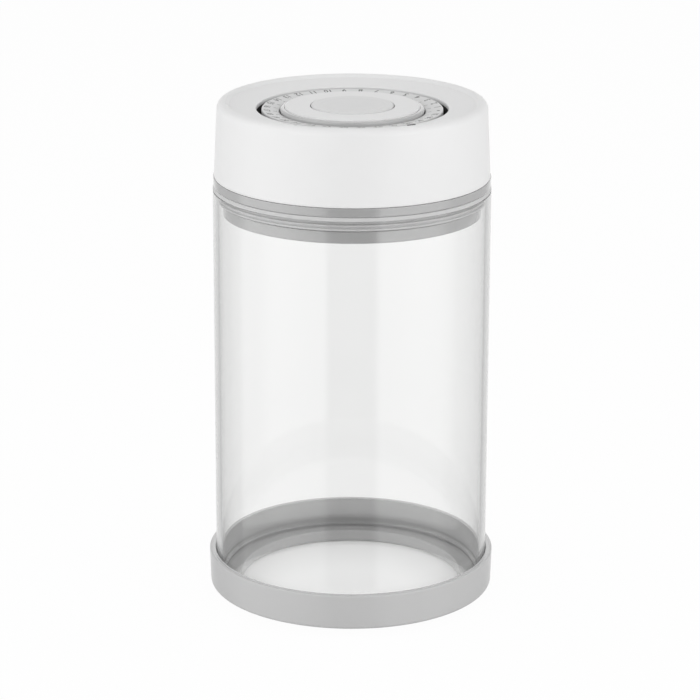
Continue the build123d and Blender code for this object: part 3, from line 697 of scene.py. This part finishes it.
print("the spring is", round(spring_height / mm, 2), "mm tall, of", len(rings), "rings of points")

# %% [markdown]
# ## Print on the dial and marks on the face
#
# The dial has 32 places: the days of the month, 1 to 31, and a dot for an empty jar. Each has a
# short line on its inner side. Text objects give the figures, and their outlines are turned into one
# thin mesh, because 31 loose texts would be 31 pieces. The dial's top is part of a cone, so one
# helper carries everything that is printed from the origin to its place on a cone.

# %% Place figures, bars and dots on a cone
print_thickness = 0.03 * mm
boldness = 0.05 * mm
dot_sides = 20


def to_cone(form, added, angle, radius, cone, lift=0):
    """Carry new points from the origin to a place on a cone, with their +Y towards the axis.

    A cone is given by a radius, its height at that radius, and its slope.
    """
    known_radius, known_height, slope = cone
    height = known_height + (radius - known_radius) * slope + lift
    tilt = Matrix.Rotation(-atan(slope), 4, "Y")
    facing = Matrix.Rotation(pi / 2, 4, "Z")
    turn = Matrix.Rotation(angle, 4, "Z")
    move = turn @ Matrix.Translation((radius, 0, height)) @ tilt @ facing
    bmesh.ops.transform(form, matrix=move, verts=added)


def add_text(form, words, size, angle, radius, cone):
    """Add the filled outline of a short text, read from outside the ring."""
    curve = bpy.data.curves.new("figure", "FONT")
    curve.body = words
    curve.size = size
    curve.align_x = "CENTER"
    curve.align_y = "CENTER"
    curve.resolution_u = 3
    curve.extrude = print_thickness / 2
    curve.offset = boldness
    holder = bpy.data.objects.new("figure", curve)
    flat = bpy.data.meshes.new_from_object(holder)
    before = len(form.verts)
    form.from_mesh(flat)
    form.verts.ensure_lookup_table()
    to_cone(form, form.verts[before:], angle, radius, cone)
    bpy.data.objects.remove(holder)
    bpy.data.curves.remove(curve)
    bpy.data.meshes.remove(flat)


def add_bar(form, length, width, thickness, angle, radius, cone):
    """Add a thin bar whose length points at the axis."""
    made = bmesh.ops.create_cube(form, size=1)["verts"]
    bmesh.ops.scale(form, vec=(width, length, thickness), verts=made)
    to_cone(form, made, angle, radius, cone)


def add_dot(form, dot_radius, thickness, angle, radius, cone):
    """Add a thin flat dot, half of it above the cone."""
    made = bmesh.ops.create_circle(form, cap_ends=True, radius=dot_radius, segments=dot_sides)["verts"]
    raised = bmesh.ops.extrude_face_region(form, geom=[made[0].link_faces[0]])["geom"]
    top = [part for part in raised if isinstance(part, bmesh.types.BMVert)]
    bmesh.ops.translate(form, vec=(0, 0, thickness), verts=top)
    to_cone(form, made + top, angle, radius, cone, -thickness / 2)


print("print is", round(print_thickness / mm, 3), "mm thick")

# %% Print the numbers and lines of the dial
places = 32
figure_size = 3.5 * mm
figure_inset = 1.8 * mm
empty_dot_radius = 0.6 * mm
line_length = 1.4 * mm
line_width = 0.3 * mm
line_inset = 1.5 * mm
dial_cone = (dial_radius, dial_top, dial_fall / (dial_radius - dial_bore))
figure_circle = dial_radius - figure_inset
line_circle = dial_bore + line_inset
figures = bmesh.new()
for place in range(places):
    angle = 2 * pi * (place + 0.5) / places
    if place < places - 1:
        add_text(figures, str(place + 1), figure_size, angle, figure_circle, dial_cone)
    else:
        add_dot(figures, empty_dot_radius, print_thickness, angle, figure_circle, dial_cone)
    add_bar(figures, line_length, line_width, print_thickness, angle, line_circle, dial_cone)
dial_print = mesh_piece("dial_print", figures, "dial", smooth_to=10)
print("dial print has", len(dial_print.data.polygons), "faces")

# %% [markdown]
# The white face has two small raised marks at the front, a bar and a dot, to read the dial
# against. Their dark colour is painted shade of embossed marks. The face is seen almost edge-on,
# so flat ink would hardly show, and the marks stand a little proud of it. The same helpers place
# them, on the cone of the face.

# %% Mark the white face
mark_circle = 40.4 * mm
bar_length = 1.4 * mm
bar_width = 2.8 * mm
bar_thickness = 1.2 * mm
bar_angle = radians(-58)
mark_dot_radius = 0.7 * mm
mark_dot_thickness = 0.5 * mm
mark_dot_angle = radians(-121)
face_cone = (well_radius, well_edge, face_fall / (face_radius - well_radius))
marks = bmesh.new()
add_bar(marks, bar_length, bar_width, bar_thickness, bar_angle, mark_circle, face_cone)
add_dot(marks, mark_dot_radius, mark_dot_thickness, mark_dot_angle, mark_circle, face_cone)
face_marks = mesh_piece("face_marks", marks, "lid", smooth_to=10)
print("face marks have", len(face_marks.data.polygons), "faces")

# %% [markdown]
# ## A small language for finishes
#
# A finish is a network of nodes. Written with Blender's own calls it takes a line for every wire,
# so one small class wraps a socket: sums on it add their Math nodes by themselves, and 1 - mask
# reads as it should. Every other node comes from one method, which sets the node up first and then
# fills its sockets with plain values or with wires. The same class builds materials and the world.

# %% Wrap sockets so that they can be added and multiplied


class Wire:
    """The output of a node. Sums with it add Math nodes to the same network."""

    def __init__(self, finish, socket):
        self.finish = finish
        self.socket = socket

    def maths(self, operation, first, second):
        """A Math node on two values, each a wire or a plain number."""
        return self.finish.node("Math", {"operation": operation}, {0: first, 1: second})

    def __add__(self, other):
        return self.maths("ADD", self, other)

    def __sub__(self, other):
        return self.maths("SUBTRACT", self, other)

    def __mul__(self, other):
        return self.maths("MULTIPLY", self, other)

    def __rsub__(self, other):
        return self.maths("SUBTRACT", other, self)

    __radd__ = __add__
    __rmul__ = __mul__


class Finish:
    """A material or world under construction, with one method that adds any node."""

    def __init__(self, owner):
        self.owner = owner
        owner.use_nodes = True
        self.tree = owner.node_tree
        self.tree.nodes.clear()

    def node(self, kind, settings=None, sockets=None, output=0):
        """Add a node, and hand back one of its outputs, or several if their numbers are given."""
        made = self.tree.nodes.new("ShaderNode" + kind)
        for key, value in (settings or {}).items():
            if key == "stops":
                self.set_stops(made.color_ramp, value)
            else:
                setattr(made, key, value)
        for key, value in (sockets or {}).items():
            if isinstance(value, Wire):
                self.tree.links.new(value.socket, made.inputs[key])
            else:
                made.inputs[key].default_value = value
        if isinstance(output, tuple):
            return [Wire(self, made.outputs[number]) for number in output]
        return Wire(self, made.outputs[output]) if made.outputs else None

    def set_stops(self, ramp, stops):
        """Give a ramp its stops, each a place and a level of grey."""
        while len(ramp.elements) < len(stops):
            ramp.elements.new(1.0)
        for stop, (place, level) in zip(ramp.elements, stops):
            stop.position = place
            stop.color = grey(level)

    def place(self):
        """Where a point is on its object, in metres."""
        return self.node("TexCoord", output="Object")

    def noise(self, size, detail=2.0):
        """Soft noise from 0 to 1 whose blotches are about so large."""
        sockets = {"Vector": self.place(), "Scale": 1 / size, "Detail": detail}
        return self.node("TexNoise", {}, sockets)

    def blend(self, factor, first, second):
        """One colour turning into another as the factor goes from 0 to 1."""
        settings = {"data_type": "RGBA"}
        return self.node("Mix", settings, {0: factor, 6: first, 7: second}, output=2)

    def bump(self, height, depth):
        """A surface that rises by a depth in metres where the height is 1."""
        sockets = {"Height": height, "Distance": depth, "Strength": 1.0}
        return self.node("Bump", {}, sockets)

    def surface(self, shader, volume=None):
        """End the network of a material."""
        ends = {"Surface": shader}
        if volume:
            ends["Volume"] = volume
        self.node("OutputMaterial", {}, ends)
        return self.owner

    def principled(self, sockets, volume=None):
        """End a material with Blender's general shader and the sockets that differ from its own."""
        return self.surface(self.node("BsdfPrincipled", {}, sockets), volume)


def grey(level, alpha=1.0):
    """A neutral colour."""
    return (level, level, level, alpha)


def shaded(colour, factor):
    """The same colour, lighter or darker."""
    return (colour[0] * factor, colour[1] * factor, colour[2] * factor, 1.0)


print("finishes are built from", Wire.__name__, "and", Finish.__name__)

# %% [markdown]
# ## Moulded plastic
#
# A moulded part isn't one flat colour. Its pigment drifts a little over centimetres, its surface
# copies the fine spark-eroded grain of the mould, and it is a touch glossier where it has been
# handled. So there are three noises: a broad one for colour, a middle one for roughness and a very
# fine one for height. The grain is a few thousandths of a millimetre deep. A plain colour would
# be quicker, but then every grey piece would look like the same sheet of paint.

# %% Build the plastics
fine_grain = 0.001 * mm
plain_grain = 0.002 * mm
coarse_grain = 0.004 * mm
drift_size = 35 * mm
handling_size = 9 * mm
grain_size = 0.35 * mm


def moulded(name, colour, roughness, depth=plain_grain, gloss=0.5, coat=0.0, ior=1.5):
    """Moulded plastic. Gloss is the strength of its reflections, with 0.5 for plain plastic."""
    finish = Finish(bpy.data.materials.new(name))
    drift = finish.noise(drift_size, 3.0)
    handling = finish.noise(handling_size, 4.0)
    texture = finish.noise(grain_size, 3.0)
    sockets = {
        "Base Color": finish.blend(drift, shaded(colour, 0.975), shaded(colour, 1.02)),
        "Roughness": roughness + (handling - 0.5) * 0.08,
        "Normal": finish.bump(texture, depth),
        "Specular IOR Level": gloss,
        "Coat Weight": coat,
        "Coat Roughness": 0.1,
        "IOR": ior,
    }
    return finish.principled(sockets)


white_satin = moulded("white_satin_plastic", grey(0.80), 0.38)
# The button's plastic is a little darker than the disc: painted shade for its hollow
shaded_button_satin = moulded("shaded_button_satin_plastic", grey(0.71), 0.36)
# Near-black plastic for the well's lower wall and floor: painted shade for the dark gap
painted_shade_grey = moulded("painted_shade_grey_plastic", grey(0.03), 0.6, coarse_grain)
grey_satin = moulded("grey_satin_plastic", grey(0.50), 0.17, fine_grain, gloss=0.9, coat=0.8)
base_satin = moulded("base_satin_plastic", grey(0.53), 0.30, coat=0.3)
# A darker copy of the base's grey for the plug and the inside of the base, seen through the glass: its
# darkness is painted shade
under_glass_shaded_gloss = moulded("under_glass_shaded_gloss_plastic", grey(0.40), 0.15, fine_grain, gloss=1.0, coat=1.0, ior=1.8)
dial_satin = moulded("dial_satin_plastic", grey(0.70), 0.4, coarse_grain)
natural_satin = moulded("natural_slide_plastic", (0.74, 0.72, 0.66, 1), 0.35)
print("plastics for the lid:", white_satin.name, shaded_button_satin.name, painted_shade_grey.name)
print("plastics for the rest:", grey_satin.name, base_satin.name, under_glass_shaded_gloss.name, dial_satin.name)

# %% [markdown]
# ## Silicone, rubber, steel, felt and ink
#
# Silicone is duller than plastic and slightly dusty, so it gets more roughness and a little sheen.
# Spring steel is bright with fine drawn lines along it. Felt is all fibre: a deep bump and no
# gloss. The ink is matte and slightly uneven, because it was printed on a grained surface.

# %% Build the other finishes
bloom_size = 6 * mm
skin_size = 0.25 * mm
line_size = 0.3 * mm
stain_size = 4 * mm
fibre_size = 0.4 * mm
fibre_depth = 0.12 * mm
ink_size = 0.5 * mm
ink_depth = 0.003 * mm


def silicone(name, colour, roughness):
    """Soft silicone or rubber."""
    finish = Finish(bpy.data.materials.new(name))
    bloom = finish.noise(bloom_size, 4.0)
    skin = finish.noise(skin_size, 2.0)
    sockets = {
        "Base Color": finish.blend(bloom, shaded(colour, 0.94), shaded(colour, 1.06)),
        "Roughness": roughness + (bloom - 0.5) * 0.15,
        "Normal": finish.bump(skin, coarse_grain),
        "Sheen Weight": 0.15,
        "IOR": 1.41,
    }
    return finish.principled(sockets)


def drawn_steel(name):
    """Bright steel with fine lines from drawing and grinding."""
    finish = Finish(bpy.data.materials.new(name))
    lines = finish.noise(line_size, 5.0)
    stain = finish.noise(stain_size, 3.0)
    sockets = {
        "Base Color": finish.blend(stain, (0.52, 0.52, 0.53, 1), (0.64, 0.63, 0.61, 1)),
        "Metallic": 1.0,
        "Roughness": 0.24 + lines * 0.12,
        "Normal": finish.bump(lines, plain_grain),
    }
    return finish.principled(sockets)


def felt(name):
    """White filter felt."""
    finish = Finish(bpy.data.materials.new(name))
    fibre = finish.noise(fibre_size, 6.0)
    sockets = {
        "Base Color": finish.blend(fibre, (0.66, 0.65, 0.61, 1), (0.84, 0.83, 0.80, 1)),
        "Roughness": 0.95,
        "Normal": finish.bump(fibre, fibre_depth),
        "Sheen Weight": 0.4,
    }
    return finish.principled(sockets)


def ink(name, colour):
    """Matte printing ink, a little thin in places."""
    finish = Finish(bpy.data.materials.new(name))
    cover = finish.noise(ink_size, 3.0)
    sockets = {
        "Base Color": finish.blend(cover, shaded(colour, 0.85), shaded(colour, 1.25)),
        "Roughness": 0.55 + cover * 0.1,
        "Normal": finish.bump(cover, ink_depth),
    }
    return finish.principled(sockets)


seal_silicone = silicone("grey_silicone", grey(0.56), 0.42)
black_rubber = silicone("seal_black_rubber", grey(0.035), 0.45)
pale_silicone = silicone("pale_silicone", (0.70, 0.71, 0.71, 1), 0.35)
bright_steel = drawn_steel("bright_steel")
filter_felt = felt("white_filter_felt")
dial_ink = ink("dial_ink", grey(0.13))
# Dark ink on the face's marks: painted shade of the embossing
mark_painted_shade = ink("mark_painted_shade", grey(0.14))
print("seals and metal:", seal_silicone.name, black_rubber.name, pale_silicone.name, bright_steel.name)
print("felt and ink:", filter_felt.name, dial_ink.name, mark_painted_shade.name)

# %% [markdown]
# ## Glass
#
# Clear glass hardly has a colour of its own. It takes a little light for every millimetre that a
# ray travels inside it, which is why a wall seen face-on looks clear and its edge looks grey. So
# the colour isn't painted on: the surface is almost white and lets everything through, and a
# volume inside it absorbs a little. A very faint, long wave in the surface is left from drawing
# the tube. Real glass lets lamplight in, but a path tracer can hardly find a lamp through a bent
# wall, so the jar casts no shadow and soft light passes it by: what stands behind the glass is then
# lit as if it stood free.

# %% Build the glass
borosilicate_index = 1.474
body_colour = (0.55, 0.56, 0.54, 1)
body_density = 6.0
wave_size = 28 * mm
wave_depth = 0.004 * mm


def clear_glass(name):
    """Borosilicate glass with a faint grey body."""
    finish = Finish(bpy.data.materials.new(name))
    wave = finish.noise(wave_size, 1.0)
    sockets = {
        "Base Color": finish.blend(wave, (0.985, 0.987, 0.985, 1), (0.99, 0.99, 0.988, 1)),
        "Roughness": 0.0,
        "IOR": borosilicate_index,
        "Transmission Weight": 1.0,
        "Normal": finish.bump(wave, wave_depth),
    }
    body = finish.node("VolumeAbsorption", {}, {"Color": body_colour, "Density": body_density})
    return finish.principled(sockets, body)


jar_glass = clear_glass("jar_glass")
jar_body.visible_shadow = False
jar_body.visible_diffuse = False
print("glass:", jar_glass.name)

# %% [markdown]
# ## Dressing every piece
#
# New pieces take their finish directly. Two of them have a second finish on some of their faces,
# which are picked by where they lie: a near-black finish in the well, painted shade for the gap
# round the dial, and a lighter, duller grey on the outside of the base, whose darker inside is
# painted shade. Splitting those pieces would do it too, but each is one moulding.

# %% Give each new piece its finish
for piece, finish in (
    (jar_body, jar_glass),
    (base_band, under_glass_shaded_gloss),
    (foot_band, seal_silicone),
    (lid_cap, white_satin),
    (plug_cup, under_glass_shaded_gloss),
    (rim_seal, seal_silicone),
    (lip_seal, seal_silicone),
    (dial_ring, dial_satin),
    (dial_print, dial_ink),
    (face_marks, mark_painted_shade),
    (knob_sleeve, grey_satin),
    (knob_disc, white_satin),
    (button_cap, shaded_button_satin),
    (spring_coil, bright_steel),
):
    piece.data.materials.clear()
    piece.data.materials.append(finish)


def second_finish(piece, finish, chosen):
    """Give a piece a second finish on the faces that a test picks by their middles."""
    piece.data.materials.append(finish)
    faces = [face for face in piece.data.polygons if chosen(face.center)]
    for face in faces:
        face.material_index = 1
    print(piece.name, "has", finish.name, "on", len(faces), "faces")


def in_well(middle):
    """On the lower part of the well's wall, or on its floor."""
    deep = well_bottom - skin_gap < middle.z < shade_finish_top
    return deep and middle.xy.length < well_radius + skin_gap


def on_outside(middle):
    """On the outer half of the base's wall."""
    return middle.xy.length > base_radius - base_wall / 2


# The well's lower wall and floor get the near-black finish, painted shade for the gap
second_finish(lid_cap, painted_shade_grey, in_well)
# The inside of the base keeps the darker grey, painted shade; the outside gets the base's own lighter,
# duller grey
second_finish(base_band, base_satin, on_outside)

# %% [markdown]
# The other inner pieces of the pump keep their construction mesh, because their shape is right,
# and each gets the finish of its material.

# %% Give the inner pieces their finish
inner_finishes = {
    "pump_barrel": grey_satin,
    "barrel_cap": grey_satin,
    "valve_cover": grey_satin,
    "barrel_seal": black_rubber,
    "stem_seal": black_rubber,
    "piston_ring": black_rubber,
    "rod_bush": natural_satin,
    "piston": natural_satin,
    "inlet_valve": pale_silicone,
    "outlet_valve": pale_silicone,
    "barrel_screws": bright_steel,
    "piston_clip": bright_steel,
    "spring_washer": bright_steel,
    "release_stem": bright_steel,
    "filter_disc": filter_felt,
}
for node, finish in inner_finishes.items():
    for slot in bpy.data.objects[node].material_slots:
        slot.material = finish
print(len(inner_finishes), "inner pieces dressed")

# %% [markdown]
# ## The studio
#
# The canister stands on a white table. The table is plain white to the camera, and keeps a small
# share of its own shading, so that the canister has a soft shadow. Mirrored and refracted rays pass
# through it and see the studio below the horizon, as if the canister stood on a small pane of
# glass. The panels' light still falls on the table as on any white surface. Only the round patch
# inside the base ring is seen through the glass. Its glow fades towards the ring, and most at the
# back: a painted shadow of the ring, which keeps light off it. A brighter lamp would whiten the
# table as well, but it would also wash out the white lid.

# %% Lay the table
table_reach = 3.0
table_drop = 0.01 * mm
brightest_place = (0, -12 * mm, 0)
bright_reach = 26 * mm
dim_reach = 54 * mm
dim_share = 0.05


def table_material(name, colour, share, patch_radius, patch_share):
    """A matte surface that looks white to the camera and lets mirrored and bent rays through.

    Within the patch's radius, bent rays see it too, and the patch's share is how white it glows.
    """
    finish = Finish(bpy.data.materials.new(name))
    place = finish.place()
    from_axis = finish.node("VectorMath", {"operation": "LENGTH"}, {0: place}, output=1)
    patch = finish.node("Math", {"operation": "LESS_THAN"}, {0: from_axis, 1: patch_radius})
    ends = {0: place, 1: brightest_place}
    away = finish.node("VectorMath", {"operation": "DISTANCE"}, ends, output=1)
    # The glow fades away from a point in front of the axis: a painted shadow of the ring
    fade = {0: away, 1: bright_reach, 2: dim_reach, 3: patch_share, 4: dim_share}
    painted_ring_shadow = finish.node("MapRange", {}, fade)
    paths = ("Is Camera Ray", "Is Glossy Ray", "Is Transmission Ray", "Is Shadow Ray")
    look, mirrored, bent, shadow = finish.node("LightPath", output=paths)
    matte = finish.node("BsdfDiffuse", {}, {"Color": colour})
    white = finish.node("Emission", {}, {"Color": grey(1.0), "Strength": 1.0})
    clear = finish.node("BsdfTransparent", {}, {"Color": grey(1.0)})
    glow = look * share + bent * painted_ring_shadow
    seen = finish.node("MixShader", {}, {0: glow, 1: matte, 2: white})
    passed = (mirrored + bent) * (1 - shadow) * (1 - patch)
    return finish.surface(finish.node("MixShader", {}, {0: passed, 1: seen, 2: clear}))


table_form = bmesh.new()
bmesh.ops.create_grid(table_form, x_segments=1, y_segments=1, size=table_reach)
table_mesh = bpy.data.meshes.new("table_top")
table_form.to_mesh(table_mesh)
table_form.free()
table_top = bpy.data.objects.new("table_top", table_mesh)
bpy.context.scene.collection.objects.link(table_top)
table_top.location.z = table - table_drop
white_table = table_material("white_table", grey(0.85), 0.97, foot_radius, patch_share=0.57)
table_mesh.materials.append(white_table)
print("table at", round(table_top.location.z / mm, 3), "mm")

# %% [markdown]
# A photographer would light the canister with two large soft panels, left and right of the camera,
# with a gap between them: the gap is the dark stripe that runs down the middle of the grey plug and
# of the base. A third panel above lights the face of the lid. They are area lights, and they only
# light things. In reflections and through the glass they stay hidden, because the world draws the
# panels there with levels that are easier to set.

# %% Set the panels
canister_middle = Vector((0, 0, 0.1))


def panel(name, azimuth, distance, height, width, tall, power):
    """A soft rectangular light that faces the middle of the canister.

    The azimuth is in degrees from the camera's side, positive to the right.
    """
    light = bpy.data.lights.new(name, "AREA")
    light.shape = "RECTANGLE"
    light.size = width
    light.size_y = tall
    light.energy = power
    holder = bpy.data.objects.new(name, light)
    turn = radians(azimuth)
    holder.location = (distance * sin(turn), -distance * cos(turn), height)
    aim = canister_middle - holder.location
    holder.rotation_euler = aim.to_track_quat("-Z", "Y").to_euler()
    holder.visible_glossy = False
    holder.visible_transmission = False
    bpy.context.scene.collection.objects.link(holder)
    print(name, "gives", power, "watts")


panel("panel_left", -62, distance=1.3, height=0.55, width=2.0, tall=1.0, power=12.2)
panel("panel_right", 62, distance=1.3, height=0.55, width=2.0, tall=1.0, power=12.0)
panel("panel_above", 180, distance=0.35, height=1.4, width=1.2, tall=1.0, power=2.4)

# %% [markdown]
# Mirrored rays see the studio in a plain form: a dark gap towards the camera, a bright panel on
# each side of it, a dimmer stretch beyond the panels, and the white paper behind the canister.
# A ramp over the compass direction holds these levels, and they darken a little towards the floor,
# as paper does where it curves away from the light. Rays that only pass through the glass, without
# any reflection, see white paper on every side, so that the jar is clear from all round. The camera
# itself sees plain white, and all other rays see an even, plain room. A picture of a studio would
# do the same, but a ramp needs no file and each of its levels can be set alone.

# %% Name the levels of the studio
gap_level = 0.12
side_level = 0.50
edge_level = 0.72
paper_level = 0.96
left_level = 0.86
left_inner_level = 0.55
right_level = 0.78
plain_level = 0.44
panel_strength = 1.05
floor_shade = 1.05
shade_slope = 0.3

# Bearings are in degrees, 0 towards the camera and positive to the right
level_at_bearing = [
    (-180, paper_level),
    (-172, paper_level),
    (-157, edge_level),
    (-142, side_level),
    (-109, side_level),
    (-103, left_level),
    (-60, left_level),
    (-24, left_inner_level),
    (-18, gap_level),
    (19, gap_level),
    (25, right_level),
    (80, right_level),
    (92, side_level),
    (142, side_level),
    (157, edge_level),
    (172, paper_level),
]
print("the studio has", len(level_at_bearing), "levels around it")

# %% Set the world
world = bpy.data.worlds.new("studio")
bpy.context.scene.world = world
room = Finish(world)
direction = room.node("TexCoord", output="Generated")
east, north, up = room.node("SeparateXYZ", {}, {0: direction}, output=(0, 1, 2))
bearing = room.node("Math", {"operation": "ARCTAN2"}, {0: east, 1: -1 * north})
stops = [(0.5 + angle / 360, level) for angle, level in level_at_bearing]
around_room = room.node("ValToRGB", {"stops": stops}, {0: bearing * (1 / (2 * pi)) + 0.5})
shade = room.node("Math", {"operation": "MINIMUM"}, {0: floor_shade + up * shade_slope, 1: 1.0})
paths = ("Is Camera Ray", "Is Glossy Ray", "Is Transmission Ray", "Glossy Depth")
look, mirrored, bent, reflections = room.node("LightPath", output=paths)
reflected = room.node("Math", {"operation": "MINIMUM"}, {0: reflections, 1: 1.0})
studio_level = around_room * reflected + (1 - reflected) * paper_level
dark = room.node("Background", {}, {"Color": grey(0.0), "Strength": 1.0})
lit = room.node("Background", {}, {"Color": grey(1.0), "Strength": panel_strength})
mirrored_room = room.node("MixShader", {}, {0: studio_level * shade, 1: dark, 2: lit})
plain_room = room.node("Background", {}, {"Color": grey(plain_level), "Strength": 1.0})
white_room = room.node("Background", {}, {"Color": grey(1.0), "Strength": 1.0})
choice = room.node("MixShader", {}, {0: mirrored + bent, 1: plain_room, 2: mirrored_room})
whole = room.node("MixShader", {}, {0: look, 1: choice, 2: white_room})
room.node("OutputWorld", {}, {"Surface": whole})
print("the world has", len(room.tree.nodes), "nodes")

# %% [markdown]
# ## The camera
#
# The photograph was taken from about a metre away with a long lens, 17 degrees above level. The
# lens, distance and height were fitted to the curves of the rims, so that ellipses match and not
# only outlines. The camera was held a fifth of a degree out of level.

# %% Place the camera
elevation = radians(17.19)
roll = radians(0.2)
camera_distance = 1119.8 * mm
aim_height = 95.7 * mm
sideways = -0.58 * mm
lens_millimetres = 150.2
sensor_millimetres = 36.0
lens_data = bpy.data.cameras.new("camera")
lens_data.lens = lens_millimetres
lens_data.sensor_width = sensor_millimetres
lens_data.clip_start = 0.05
lens_data.clip_end = 20.0
camera = bpy.data.objects.new("camera", lens_data)
back, rise = camera_distance * cos(elevation), camera_distance * sin(elevation)
camera.location = (sideways, -back, aim_height + rise)
sight = Vector((sideways, 0, aim_height)) - camera.location
level_view = sight.to_track_quat("-Z", "Y")
camera.rotation_euler = (level_view @ Quaternion((0, 0, 1), roll)).to_euler()
bpy.context.scene.collection.objects.link(camera)
bpy.context.scene.camera = camera
bpy.context.scene.view_settings.view_transform = "Standard"
print("camera", tuple(round(v, 3) for v in camera.location))
